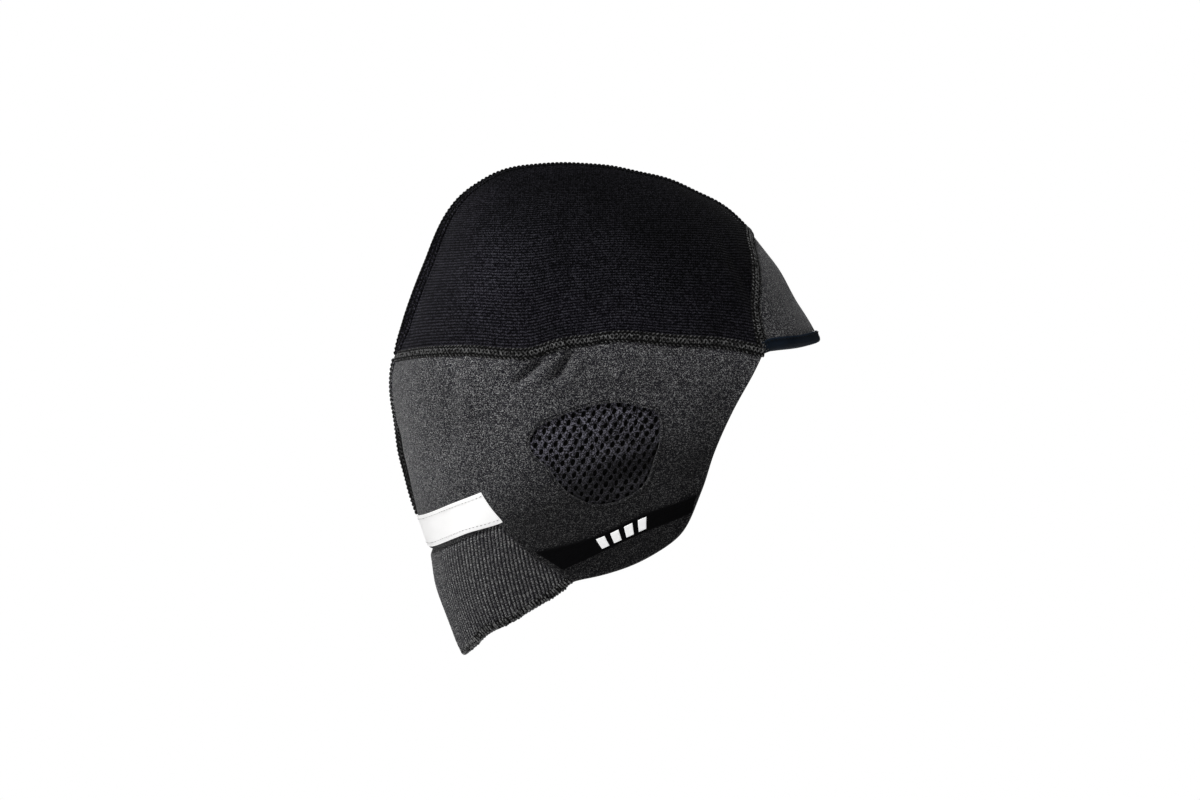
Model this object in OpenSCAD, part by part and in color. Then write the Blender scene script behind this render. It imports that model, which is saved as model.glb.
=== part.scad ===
// Under-helmet winter cap: jersey crown, heather side panels with ear mesh, a peaked brow
// and a ribbed nape warmer. It is drawn as worn, filled out by a head, and it is open at
// the face and at the neck.
// +X is forward, +Y is the wearer's left and +Z is up. The origin is the middle of the head
// at the level of the seam that joins the crown to the sides. Outlines are side views, [x, z].

/* [Cap size] */
// Length from the tip of the brow to the back of the head
cap_length = 212.5; // [193:0.5:232]
// Height from the top of the crown to the lowest point of the nape
cap_height = 243.5; // [222:0.5:265]
// Half of the cap's width over the ears
half_width = 77; // [70:0.5:84]
// How square the head form is, seen from the front
fullness = 0.2; // [0:0.02:0.3]
// Share of the width lost from the ears down to the neck
neck_taper = 0.12; // [0:0.01:0.2]
// Pinch of the cap along its centre seams, over the crown and the back of the head, in degrees
ridge = 12; // [0:1:24]

/* [Fabric] */
// Thickness of the crown's jersey
jersey_thick = 1.2; // [0.8:0.1:2]
// Thickness of the brushed heather knit in the sides and brow
heather_thick = 1.6; // [1:0.1:2.4]
// Thickness of the rib knit at the nape
rib_thick = 2; // [1.4:0.1:3]
// Thickness of the ear mesh
mesh_thick = 0.9; // [0.6:0.1:1.4]
// How far the ear mesh runs in under the side panel
mesh_margin = 3; // [2:0.5:5]

/* [Seams and trims] */
// Width of a flatlock seam
seam_width = 5.5; // [4:0.5:7]
// Width of the flatlock seams along the centre of the crown and the back
centre_seam_width = 7; // [4:0.5:9]
// Height of a flatlock seam over the fabric
seam_rise = 0.8; // [0.5:0.1:1.2]
// How much higher the centre seam stands behind the crown, where it is folded into a welt
welt_height = 4.2; // [0:0.2:4.6]
// Width of the stitching round the ear mesh
mesh_seam_width = 2.4; // [1.6:0.2:4]
// Width of the seam between a side panel and the nape rib
rib_seam_width = 4; // [3:0.5:6]
// Height of the brow binding
binding_height = 5; // [4:0.5:8]
// Thickness of the brow binding's tape
binding_thick = 0.7; // [0.5:0.1:1.2]
// Width of the overlocked hem at the nape
hem_width = 4.4; // [3:0.2:6]
// Thickness of the elastic band on each flap
band_thick = 0.9; // [0.6:0.1:1.5]
// Thickness of the print on each band
mark_thick = 0.3; // [0.2:0.1:0.5]
// Thickness of the reflective strip
strip_thick = 0.6; // [0.4:0.1:1]
// Clearance between stacked layers
layer_gap = 0.1; // [0.05:0.05:0.2]

/* [Hidden] */

// Size that the outlines below are drawn at
drawn_length = 212.5;
drawn_height = 243.5;

// Levels between which the sides narrow towards the neck
taper_top = -60;
taper_bottom = -150;

// Headings between which the ridge along the centre line rises and then fades
ridge_rise = [40, 85];
ridge_fade = [195, 235];
// Headings between which the centre seam's welt rises and then fades, and the share of the
// seam's width that is folded up into it
welt_rise = [100, 138];
welt_fade = [158, 176];
welt_fold = 0.55;

// Half the step over which the skin's slope is measured
slope_step = 0.4;

// Angle by which the centre seams stop short of the seams that they meet
seam_margin = 1.7;

// Middle of the head form, at the ear
form_middle = fit([-6, -20]);

// Centre line of the cap, from the brow's tip over the crown to the nape, then on round
// the open face and neck, where only the head form follows it
centre_outline = fit_all([
    [113, 4.5], [101, 25.5], [83.3, 53], [69.4, 67.8], [50.5, 79], [20, 88.5], [-16, 92.5],
    [-44.3, 87.6], [-58.6, 79.2], [-65.6, 71.8], [-78.9, 42.1], [-90, 13.5], [-95.6, 0],
    [-99.5, -12], [-97.6, -37], [-91.8, -67.2], [-81, -96], [-76.5, -118.5], [-70, -137.5],
    [-63, -153], [-38, -174], [0, -184], [48, -168], [88, -126], [108, -80], [116.5, -36]
]);
head_form = polar_form(centre_outline, form_middle);

// Seam between crown and side, from the back of the head to the brow
crown_seam_line = [[-96, -3.5], [-60.5, -1], [-32, -2.5], [-14.5, 2.5], [3.5, 5], [24, 5.5],
    [40.5, 4], [65.5, 2.5], [84, -1.5]];
crown_seam_back = [-98.6, -4];

// Seam between crown and brow, from its lower end to the centre line
brow_seam_line = [[84, -1.5], [81.5, 9.5], [80.5, 24.5], [80, 44.5], [78, 55]];
brow_seam_top = [77, 59];

// Lower edge of the brow, from its rear corner to its tip
brow_edge_line = [[84, -1.5], [89, 0.3], [93, 0.9], [103, 2], [109, 3.4]];
brow_tip = [113, 5];

// Face edge of a side panel, from the brow down to the flap's lowest point
face_edge_line = [[84, -1.5], [80, -10], [69, -30.5], [60.5, -50], [54, -69.5], [45, -89],
    [34, -99], [14.5, -108.5], [-9.5, -113.5]];

// Seam between side panel and nape rib, from the flap's lowest point upwards
rib_seam_line = [[-9.5, -113.5], [-13.5, -109.5], [-28.5, -100], [-40.5, -88.5], [-43.5, -86]];

// Top edge of the nape rib, from the seam above to the centre line
rib_top_line = [[-43.5, -86], [-62, -92]];
rib_top_back = [-80, -98.5];

// Lower edge of the nape rib, which its hem folds over, from the flap to the centre line
nape_edge_line = [[-9.5, -113.5], [-18, -120.5], [-35, -131], [-53, -141.5]];
nape_tip = [-64.5, -151];

// Ear mesh, as the opening in the side panel, anticlockwise from its front
ear_middle = unfold(fit([3, -51]));
ear_outline = [for (p = [
    [34, -42], [32, -30.5], [22.5, -27.5], [0.5, -27], [-16, -32.5], [-31, -45],
    [-22, -58.5], [-11, -71.5], [0.5, -76.5], [17.5, -73], [25.5, -67.5], [31.5, -54]
]) unfold(fit(p))];
ear_form = polar_form(ear_outline, ear_middle);

// Edges of a flap's elastic band, from the nape seam to the face edge
band_top_line = [[-27, -99.5], [1.5, -91.6], [24.5, -81.2], [37.5, -76.8], [51, -71.6]];
band_low_line = [[-14.5, -107.5], [6.5, -97.8], [28.5, -87.8], [42, -82.6], [49, -79.6]];
// Share of the band's length and height that the print's bars take
mark_start = 0.34;
mark_end = 0.7;
mark_inset = 0.15;
mark_bars = 4;

// Edges of the reflective strip, from its end near the flap to the centre line
strip_top_line = [[-54, -70.5], [-71, -77.3]];
strip_top_back = [-88.3, -84];
strip_low_line = [[-43.5, -84.6], [-62, -90.6]];
strip_low_back = [-81, -97];

// Colours of the materials
jersey_colour = [0.09, 0.09, 0.11];
heather_colour = [0.27, 0.27, 0.28];
rib_colour = [0.31, 0.31, 0.32];
mesh_colour = [0.12, 0.12, 0.13];
thread_colour = [0.2, 0.2, 0.21];
binding_colour = [0.07, 0.09, 0.13];
band_colour = [0.03, 0.03, 0.04];
white_colour = [0.97, 0.97, 0.97];

// ---- Curves in a plane ----

// An outline point moved from the drawn size to the driving size
function fit(p) = [p[0] * cap_length / drawn_length, p[1] * cap_height / drawn_height];
function fit_all(points) = [for (p = points) fit(p)];

function heading(v) = atan2(v[1], v[0]);
function full_turn(a) = a - 360 * floor(a / 360);
function ease(u) = let (v = min(1, max(0, u))) v * v * (3 - 2 * v);

// Cubic between two values with given slopes, over a span of length h
function hermite(p0, p1, m0, m1, h, u) =
    (2 * u * u * u - 3 * u * u + 1) * p0 + (u * u * u - 2 * u * u + u) * h * m0
    + (3 * u * u - 2 * u * u * u) * p1 + (u * u * u - u * u) * h * m1;

// A closed outline about a middle, as [middle, first heading, knots, index of each knot].
// A knot is [angle, radius, slope], and the angles count from the first heading.
function polar_form(points, middle) =
    let (n = len(points), first = heading(points[0] - middle),
         polar = [for (p = points) [full_turn(heading(p - middle) - first), norm(p - middle)]],
         ring = function(i) polar[(i + n) % n] + [360 * floor(i / n), 0],
         knots = [for (i = [0:n]) let (p = ring(i), a = ring(i - 1), b = ring(i + 1))
             [p[0], p[1], (b[1] - a[1]) / (b[0] - a[0])]])
    [middle, first, knots, [for (i = [0:n]) [knots[i][0], i]]];

// Radius of a closed outline in a direction
function polar_radius(form, direction) =
    let (a = full_turn(direction - form[1]), found = lookup(a, form[3]),
         i = min(floor(found), len(form[2]) - 2), k = form[2][i], m = form[2][i + 1])
    hermite(k[1], m[1], k[2], m[2], m[0] - k[0], found - i);

// Running length along a list of points
function run_lengths(points) =
    [for (i = 0, s = 0; i < len(points); i = i + 1,
          s = i < len(points) ? s + norm(points[i] - points[i - 1]) : s) s];

// A smooth curve through points, as count steps of even length
function smooth(points, count) =
    let (n = len(points), run = run_lengths(points),
         slopes = [for (i = [0:n - 1]) let (a = max(0, i - 1), b = min(n - 1, i + 1))
             (points[b] - points[a]) / (run[b] - run[a])],
         index = [for (i = [0:n - 1]) [run[i], i]])
    [for (k = [0:count])
        let (found = lookup(run[n - 1] * k / count, index), i = min(floor(found), n - 2))
        hermite(points[i], points[i + 1], slopes[i], slopes[i + 1],
            run[i + 1] - run[i], found - i)];

// Grid that fills the space inside four edges; low and high run one way, left and right across
function fill_edges(low, high, left, right) =
    let (n = len(low) - 1, m = len(left) - 1)
    [for (j = [0:m]) let (v = j / m) [for (i = [0:n]) let (u = i / n)
        (1 - v) * low[i] + v * high[i] + (1 - u) * left[j] + u * right[j]
        - (1 - v) * ((1 - u) * low[0] + u * low[n]) - v * ((1 - u) * high[0] + u * high[n])]];

// Grid of straight rows between two edges of the same length
function fill_between(low, high, rows) =
    [for (j = [0:rows]) [for (i = [0:len(low) - 1]) low[i] + (high[i] - low[i]) * j / rows]];

function reversed(list) = [for (i = [len(list) - 1:-1:0]) list[i]];
function repeated(p, count) = [for (i = [0:count]) p];

// ---- The head form ----
// A side-view point is unfolded to a flat plane, where its distance from the middle grows
// evenly from the ear out to the centre line. The skin folds that plane over the head.

function unfold(p) =
    let (d = p - form_middle, a = heading(d), r = polar_radius(head_form, a), rim = rim_angle(a))
    form_middle + d / norm(d) * r * asin(min(1, norm(d) / r) * sin(rim)) / rim;

// Angle that the form turns through from the ear to the centre line; under 90 leaves a ridge
function rim_angle(direction) =
    let (a = full_turn(direction))
    90 - ridge * ease((a - ridge_rise[0]) / (ridge_rise[1] - ridge_rise[0]))
        * ease((ridge_fade[1] - a) / (ridge_fade[1] - ridge_fade[0]));

// How much the cloth falls away from the ridge on either side, as a slope
function ridge_slope(u) =
    let (a = heading(u - form_middle), rim = rim_angle(a))
    polar_radius(head_form, a) * cos(rim) / (half_width * (1 + fullness) * (1 + cos(rim)));

// Share of its full height that the centre seam's welt has
function welt_share(u) =
    let (a = full_turn(heading(u - form_middle)))
    ease((a - welt_rise[0]) / (welt_rise[1] - welt_rise[0]))
        * ease((welt_fade[1] - a) / (welt_fade[1] - welt_fade[0]));

function unfold_all(points) = [for (p = fit_all(points)) unfold(p)];

// Point of the unfolded plane on the centre line, in the direction of a side-view point
function at_centre(p) = on_centre(heading(fit(p) - form_middle));
function on_centre(a) = form_middle + polar_radius(head_form, a) * [cos(a), sin(a)];

// Run along the centre line between two side-view points, anticlockwise, in count steps.
// It stops short of both by a margin, an angle.
function centre_run(from, to, count, margin = 0) =
    let (a = heading(fit(from) - form_middle) + margin,
         b = a + full_turn(heading(fit(to) - form_middle) - a) - margin)
    [for (i = [0:count]) on_centre(a + (b - a) * i / count)];

// Point of the right half's skin
function skin(u) =
    let (d = u - form_middle, reach = norm(d), a = heading(d), r = polar_radius(head_form, a),
         rim = rim_angle(a), t = rim * reach / r, spread = sin(t) / sin(rim),
         p = form_middle + (reach > 0 ? d / reach * r * spread : [0, 0]),
         taper = 1 - neck_taper * ease((taper_top - p[1]) / (taper_top - taper_bottom)),
         width = (cos(t) - cos(rim)) / (1 - cos(rim)) * (1 + fullness * spread * spread))
    [p[0], -half_width * width * taper, p[1]];

// The skin's outward direction
function outward(u) =
    let (n = cross(skin(u + [slope_step, 0]) - skin(u - [slope_step, 0]),
                   skin(u + [0, slope_step]) - skin(u - [0, slope_step])))
    n / norm(n);

function spot(u) = [skin(u), outward(u)];
function spots(list) = [for (u = list) spot(u)];

// The spot of a centre-line point, exactly on the centre plane
function centre_spot(u) =
    let (s = spot(u), n = [s[1][0], 0, s[1][2]]) [[s[0][0], 0, s[0][2]], n / norm(n)];

// Spots of a run that ends on the centre line, carried on over the other half of the head
function both_sides(list) =
    let (n = len(list) - 1, near = [for (i = [0:n - 1]) spot(list[i])])
    concat(near, [centre_spot(list[n])],
        [for (i = [n - 1:-1:0]) [for (v = near[i]) [v[0], -v[1], v[2]]]]);

// ---- Solids ----

function rounded(v) = [for (c = v) round(c * 10000) / 10000];
function lift(rows, h) = [for (row = rows) [for (s = row) s[0] + h * s[1]]];

// Solid between two grids of points; a ring joins the last column to the first
module skin_solid(outer, inner, ring = false) {
    rows = len(outer);
    cols = len(outer[0]);
    half = rows * cols;
    last = ring ? cols - 1 : cols - 2;
    points = [for (grid = [outer, inner]) for (row = grid) for (p = row) rounded(p)];
    function at(j, i) = j * cols + i % cols;
    // Each four-sided cell is split along its shorter diagonal
    function split(a, b, c, d) = norm(points[a] - points[c]) <= norm(points[b] - points[d])
        ? [[a, c, b], [a, d, c]] : [[b, d, c], [a, d, b]];
    faces = [
        for (j = [0:rows - 2]) for (i = [0:last])
            let (a = at(j, i), b = at(j, i + 1), c = at(j + 1, i + 1), d = at(j + 1, i))
            each concat(split(a, b, c, d), split(b + half, a + half, d + half, c + half)),
        for (i = [0:last])
            let (a = at(0, i), b = at(0, i + 1), c = at(rows - 1, i), d = at(rows - 1, i + 1))
            each [[a, b, b + half], [a, b + half, a + half], [d, c, c + half], [d, c + half, d + half]],
        if (!ring) for (j = [0:rows - 2])
            let (a = at(j, 0), b = at(j + 1, 0), c = at(j, cols - 1), d = at(j + 1, cols - 1))
            each [[b, a, a + half], [b, a + half, b + half], [c, d, d + half], [c, d + half, c + half]]
    ];
    polyhedron(points, faces, convexity = 8);
}

// Fabric laid on the head form between two lifts over the skin
module fabric(rows, low, high, ring = false) {
    skin_solid(lift(rows, high), lift(rows, low), ring);
}

// Grid of a profile carried along a run of spots; a profile point is [across, lift], and
// bend gives its place at one spot of the run.
function carried(run, profile, closed = false, bend = function(i, q) q) =
    let (n = len(run), last = n - 1,
         sides = [for (i = [0:last])
             let (before = closed ? (i + last) % n : max(0, i - 1),
                  after = closed ? (i + 1) % n : min(last, i + 1),
                  side = cross(run[i][1], run[after][0] - run[before][0]))
             side / norm(side)])
    [for (q = profile) [for (i = [0:last])
        let (p = bend(i, q)) run[i][0] + p[0] * sides[i] + p[1] * run[i][1]]];

// Raised band of seam stitching along a run of spots, on fabric of a given thickness
module seam_band(run, width, rise, cloth, closed = false) {
    foot = cloth / 2 + layer_gap;
    top = [[-width / 2, 0.4 * rise], [-width / 4, rise], [width / 4, rise], [width / 2, 0.4 * rise]];
    skin_solid(carried(run, [for (q = top) [q[0], foot + q[1]]], closed),
        carried(run, [for (q = top) [q[0], foot]], closed), closed);
}

// The same on the inside of the cap
module inner_seam_band(run, width, rise, cloth) {
    foot = -cloth / 2 - layer_gap;
    side = width / 2;
    skin_solid(carried(run, [[-side, foot], [0, foot], [side, foot]]),
        carried(run, [[-side, foot - 0.4 * rise], [0, foot - rise], [side, foot - 0.4 * rise]]));
}

// Flatlock seam along the ridge of the centre line, between two side-view points. It falls
// away to both sides as the cloth does, and stands up as a narrow welt behind the crown.
module ridge_seam(from, to, steps, cloth) {
    line = centre_run(from, to, steps, seam_margin);
    run = [for (u = line) centre_spot(u)];
    foot = cloth / 2 + layer_gap;
    side = centre_seam_width / 2;
    across = [-side, -side / 2, 0, side / 2, side];
    rises = seam_rise * [0.4, 1, 1, 1, 0.4];
    base = function(i, q)
        let (x = q[0] * (1 - welt_fold * welt_share(line[i])))
        [x, q[1] - ridge_slope(line[i]) * abs(x)];
    crest = function(i, q)
        base(i, q) + [0, welt_height * welt_share(line[i]) * (1 - abs(q[0]) / side)];
    skin_solid(carried(run, [for (k = [0:4]) [across[k], foot + rises[k]]], bend = crest),
        carried(run, [for (x = across) [x, foot]], bend = base));
}

module left_side() {
    mirror([0, 1, 0]) children();
}

// ---- Crown ----

// Steps along the edges that two pieces share
crown_steps = 28;
crown_rows = 10;
rib_rows = 7;
rib_steps = 9;
function crown_seam_curve(count) =
    smooth(concat([at_centre(crown_seam_back)], unfold_all(crown_seam_line)), count);
function brow_seam_curve(count) =
    smooth(concat(unfold_all(brow_seam_line), [at_centre(brow_seam_top)]), count);

module crown_panel_right() {
    low = crown_seam_curve(crown_steps);
    high = reversed(centre_run(brow_seam_top, crown_seam_back, crown_steps));
    grid = fill_edges(low, high, repeated(low[0], crown_rows), brow_seam_curve(crown_rows));
    color(jersey_colour)
        fabric([for (row = grid) spots(row)], -jersey_thick / 2, jersey_thick / 2);
}

module crown_panel_left() {
    left_side() crown_panel_right();
}

module crown_centre_seam() {
    color(thread_colour)
        ridge_seam(brow_seam_top, crown_seam_back, 44, jersey_thick);
}

module crown_seam_right() {
    color(thread_colour)
        seam_band(spots(crown_seam_curve(42)), seam_width, seam_rise, heather_thick);
}

module crown_seam_left() {
    left_side() crown_seam_right();
}

// ---- Brow ----

brow_steps = 8;

module brow_panel() {
    seam = brow_seam_curve(crown_rows);
    edge = brow_edge_curve(brow_steps);
    grid = fill_edges(edge, repeated(seam[crown_rows], brow_steps), seam,
        centre_run(brow_tip, brow_seam_top, crown_rows));
    color(heather_colour)
        fabric([for (row = grid) both_sides(row)], -heather_thick / 2, heather_thick / 2);
}

function brow_edge_curve(count) =
    smooth(concat(unfold_all(brow_edge_line), [at_centre(brow_tip)]), count);

module brow_seam() {
    color(thread_colour)
        seam_band(both_sides(brow_seam_curve(14)), seam_width, seam_rise, heather_thick);
}

// Tape folded round the brow's lower edge
module brow_binding() {
    run = both_sides(brow_edge_curve(14));
    near = heather_thick / 2 + layer_gap;
    far = near + binding_thick;
    outer = [[binding_height, -far], [0, -far], [-0.9, -far * 0.7], [-0.9, far * 0.7], [0, far],
        [binding_height, far]];
    inner = [[binding_height, -near], [0.1, -near], [-0.1, -near * 0.7], [-0.1, near * 0.7],
        [0.1, near], [binding_height, near]];
    color(binding_colour)
        skin_solid(carried(run, outer), carried(run, inner));
}

// ---- Sides ----

function face_curve(count) = smooth(unfold_all(face_edge_line), count);
function rib_seam_curve(count) = smooth(unfold_all(rib_seam_line), count);
function rib_top_curve(count) =
    smooth(concat(unfold_all(rib_top_line), [at_centre(rib_top_back)]), count);

function ear_edge(a, margin) = ear_middle + (polar_radius(ear_form, a) + margin) * [cos(a), sin(a)];
side_rings = 6;

module side_panel_right() {
    joined = [reversed(crown_seam_curve(crown_steps)), centre_run(crown_seam_back, rib_top_back, 10),
        reversed(rib_top_curve(rib_steps)), reversed(rib_seam_curve(rib_rows)), reversed(face_curve(16))];
    rim = [for (edge = joined) for (i = [0:len(edge) - 2]) edge[i]];
    hole = [for (u = rim) ear_edge(heading(u - ear_middle), 0)];
    color(heather_colour)
        fabric([for (row = fill_between(hole, rim, side_rings)) spots(row)],
            -heather_thick / 2, heather_thick / 2, ring = true);
}

module side_panel_left() {
    left_side() side_panel_right();
}

module back_seam() {
    color(thread_colour)
        ridge_seam(crown_seam_back, strip_top_back, 14, heather_thick);
}

// ---- Ear mesh ----

ear_steps = 40;
ear_rings = 4;

module ear_mesh_right() {
    top = -heather_thick / 2 - layer_gap;
    edge = [for (a = [0:360 / ear_steps:359.9]) ear_edge(a, mesh_margin)];
    grid = fill_between(repeated(ear_middle, ear_steps - 1), edge, ear_rings);
    color(mesh_colour)
        fabric([for (row = grid) spots(row)], top - mesh_thick, top, ring = true);
}

module ear_mesh_left() {
    left_side() ear_mesh_right();
}

module mesh_seam_right() {
    run = [for (a = [0:360 / ear_steps:359.9]) spot(ear_edge(a, mesh_seam_width / 2 + 0.4))];
    color(thread_colour)
        seam_band(run, mesh_seam_width, seam_rise / 2, heather_thick, closed = true);
}

module mesh_seam_left() {
    left_side() mesh_seam_right();
}

// ---- Flap bands ----

band_steps = 16;
function band_grid(from, to, inset, rows, steps) =
    let (low = smooth(unfold_all(band_low_line), band_steps * 4),
         high = smooth(unfold_all(band_top_line), band_steps * 4),
         n = band_steps * 4,
         pick = [for (i = [0:steps]) round(n * (from + (to - from) * i / steps))])
    [for (j = [0:rows]) let (v = inset + (1 - 2 * inset) * j / rows)
        [for (i = pick) spot(low[i] + (high[i] - low[i]) * v)]];

module flap_band_right() {
    foot = heather_thick / 2 + layer_gap;
    color(band_colour)
        fabric(band_grid(0, 1, 0, 3, band_steps), foot, foot + band_thick);
}

module flap_band_left() {
    left_side() flap_band_right();
}

// Print of plain bars that slant across the band
module band_mark_right() {
    foot = heather_thick / 2 + 2 * layer_gap + band_thick;
    pitch = (mark_end - mark_start) / mark_bars;
    color(white_colour)
        for (k = [0:mark_bars - 1])
            fabric(band_grid(mark_start + k * pitch, mark_start + (k + 0.6) * pitch, mark_inset, 2, 2),
                foot, foot + mark_thick);
}

module band_mark_left() {
    left_side() band_mark_right();
}

// ---- Nape ----

function nape_edge_curve(count) =
    smooth(concat(unfold_all(nape_edge_line), [at_centre(nape_tip)]), count);

module nape_rib() {
    grid = fill_edges(nape_edge_curve(rib_steps), rib_top_curve(rib_steps), rib_seam_curve(rib_rows),
        reversed(centre_run(rib_top_back, nape_tip, rib_rows)));
    color(rib_colour)
        fabric([for (row = grid) both_sides(row)], -rib_thick / 2, rib_thick / 2);
}

// The seams round the top of the rib are turned to the inside
module rib_seam_right() {
    color(thread_colour)
        inner_seam_band(spots(rib_seam_curve(12)), rib_seam_width, seam_rise, rib_thick);
}

module rib_seam_left() {
    left_side() rib_seam_right();
}

module nape_seam() {
    line = rib_top_curve(14);
    color(thread_colour)
        inner_seam_band(both_sides([for (i = [1:14]) line[i]]), rib_seam_width, seam_rise, rib_thick);
}

// Overlocked roll that finishes the rib's lower edge
module nape_hem() {
    run = both_sides(nape_edge_curve(18));
    half = rib_thick / 2 + 0.6;
    outer = [[-0.1, half * 0.8], [-0.25 * hem_width, half], [-0.7 * hem_width, half * 0.9],
        [-hem_width, half * 0.3]];
    color(rib_colour)
        skin_solid(carried(run, outer), carried(run, [for (q = outer) [q[0], -q[1]]]));
}

module reflective_strip() {
    foot = heather_thick / 2 + layer_gap;
    low = smooth(concat(unfold_all(strip_low_line), [at_centre(strip_low_back)]), 10);
    high = smooth(concat(unfold_all(strip_top_line), [at_centre(strip_top_back)]), 10);
    color(white_colour)
        fabric([for (row = fill_between(low, high, 4)) both_sides(row)],
            foot, foot + strip_thick);
}

crown_panel_right();
crown_panel_left();
crown_centre_seam();
brow_panel();
brow_seam();
brow_binding();
crown_seam_right();
crown_seam_left();
side_panel_right();
side_panel_left();
back_seam();
ear_mesh_right();
ear_mesh_left();
mesh_seam_right();
mesh_seam_left();
flap_band_right();
flap_band_left();
band_mark_right();
band_mark_left();
nape_rib();
rib_seam_right();
rib_seam_left();
nape_seam();
nape_hem();
reflective_strip();
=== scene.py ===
"""Looks of the under-helmet winter cap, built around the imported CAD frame."""
import math

import bmesh
import bpy
import numpy as np
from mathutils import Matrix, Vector


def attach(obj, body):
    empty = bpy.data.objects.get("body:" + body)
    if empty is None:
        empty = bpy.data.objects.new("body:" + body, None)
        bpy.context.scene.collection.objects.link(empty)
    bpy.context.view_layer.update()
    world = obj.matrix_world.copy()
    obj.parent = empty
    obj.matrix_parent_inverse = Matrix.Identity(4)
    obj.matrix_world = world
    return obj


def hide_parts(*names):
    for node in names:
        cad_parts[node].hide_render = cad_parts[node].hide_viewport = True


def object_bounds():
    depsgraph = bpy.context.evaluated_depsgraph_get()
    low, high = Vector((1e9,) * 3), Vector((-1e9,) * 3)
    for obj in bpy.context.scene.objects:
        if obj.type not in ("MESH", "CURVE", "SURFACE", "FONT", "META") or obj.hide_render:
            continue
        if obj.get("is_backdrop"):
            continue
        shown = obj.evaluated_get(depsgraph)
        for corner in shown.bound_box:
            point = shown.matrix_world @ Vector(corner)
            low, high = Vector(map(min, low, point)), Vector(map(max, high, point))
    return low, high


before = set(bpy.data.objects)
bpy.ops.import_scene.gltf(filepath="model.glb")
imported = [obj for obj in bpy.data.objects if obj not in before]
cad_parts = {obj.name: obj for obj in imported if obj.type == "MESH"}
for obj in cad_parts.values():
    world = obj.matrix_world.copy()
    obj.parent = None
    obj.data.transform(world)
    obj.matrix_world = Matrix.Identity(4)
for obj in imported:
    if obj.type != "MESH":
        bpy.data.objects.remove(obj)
cad_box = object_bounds()

# ---------------------------------------------------------------- head form
# Outlines and the form are worked in millimetres and in the frame's axes, as the CAD part has
# them. FIT scales them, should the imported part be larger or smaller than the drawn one.

MM = 0.001
MIRROR = np.array([1, -1, 1])
DRAWN_SIZE = np.array([215.84, 156.55, 245.94])
FIT = np.array(cad_box[1] - cad_box[0]) / MM / DRAWN_SIZE

HALF_WIDTH = 77 * FIT[1]
FULLNESS = 0.2
NECK_TAPER = 0.12
TAPER_LEVELS = (-60, -150)
RIDGE = 12
RIDGE_HEADINGS = (40, 85, 195, 235)
# The centre seam stands up as a welt behind the crown: its headings, its height and the
# share of the seam's width that is folded up into it. Headings are where a relief starts,
# is full, eases off and ends
WELT_HEADINGS = (100, 138, 158, 176)
WELT_HEIGHT = 4.2
WELT_FOLD = 0.55
# The same four places of the back seam's fold, as side-view points
LOW_FOLD = [(-99.0, -33), (-96.6, -46), (-90.5, -70), (-86.5, -83)]
LOW_FOLD_HEIGHT = 2.2
SLOPE_STEP = 0.4
# Steps of a finely drawn line and of a short one
FINE = 400
SHORT = 200

JERSEY_THICK = 1.2
HEATHER_THICK = 1.6
RIB_THICK = 2.0
CLOTH_TOP = HEATHER_THICK / 2 + 0.1
SEAM_WIDTH = 5.5
CENTRE_SEAM_WIDTH = 7.0
SEAM_RISE = 0.8
MESH_MARGIN = 3.0
# Millimetres of cloth for a millimetre of the unfolded plane
CLOTH_SCALE = math.pi / 2

CENTRE_OUTLINE = [
    (113, 4.5), (101, 25.5), (83.3, 53), (69.4, 67.8), (50.5, 79), (20, 88.5), (-16, 92.5),
    (-44.3, 87.6), (-58.6, 79.2), (-65.6, 71.8), (-78.9, 42.1), (-90, 13.5), (-95.6, 0),
    (-99.5, -12), (-97.6, -37), (-91.8, -67.2), (-81, -96), (-76.5, -118.5), (-70, -137.5),
    (-63, -153), (-38, -174), (0, -184), (48, -168), (88, -126), (108, -80), (116.5, -36),
]
CROWN_SEAM = [
    (-96, -3.5), (-60.5, -1), (-32, -2.5), (-14.5, 2.5), (3.5, 5), (24, 5.5),
    (40.5, 4), (65.5, 2.5), (84, -1.5),
]
CROWN_SEAM_BACK = (-98.6, -4)
BROW_SEAM = [(84, -1.5), (81.5, 9.5), (80.5, 24.5), (80, 44.5), (78, 55)]
BROW_SEAM_TOP = (77, 59)
BROW_EDGE = [(84, -1.5), (89, 0.3), (93, 0.9), (103, 2), (109, 3.4)]
BROW_TIP = (113, 5)
FACE_EDGE = [
    (84, -1.5), (80, -10), (69, -30.5), (60.5, -50), (54, -69.5), (45, -89), (34, -99),
    (14.5, -108.5), (-9.5, -113.5),
]
RIB_SEAM = [(-9.5, -113.5), (-13.5, -109.5), (-28.5, -100), (-40.5, -88.5), (-43.5, -86)]
RIB_TOP = [(-43.5, -86), (-62, -92)]
RIB_TOP_BACK = (-80, -98.5)
NAPE_EDGE = [(-9.5, -113.5), (-18, -120.5), (-35, -131), (-53, -141.5)]
NAPE_TIP = (-64.5, -151)
EAR_MIDDLE = (3, -51)
EAR_OUTLINE = [
    (34, -42), (32, -30.5), (22.5, -27.5), (0.5, -27), (-16, -32.5), (-31, -45),
    (-22, -58.5), (-11, -71.5), (0.5, -76.5), (17.5, -73), (25.5, -67.5), (31.5, -54),
]
BAND_TOP = [(-27, -99.5), (1.5, -91.6), (24.5, -81.2), (37.5, -76.8), (51, -71.6)]
BAND_LOW = [(-14.5, -107.5), (6.5, -97.8), (28.5, -87.8), (42, -82.6), (49, -79.6)]
MARK_START, MARK_END, MARK_INSET, MARK_BARS = 0.34, 0.7, 0.15, 4
STRIP_TOP = [(-54, -70.5), (-71, -77.3)]
STRIP_TOP_BACK = (-88.3, -84)
STRIP_LOW = [(-43.5, -84.6), (-62, -90.6)]
STRIP_LOW_BACK = (-81, -97)


def fit(points):
    return np.asarray(points, float) * FIT[[0, 2]]


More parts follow.
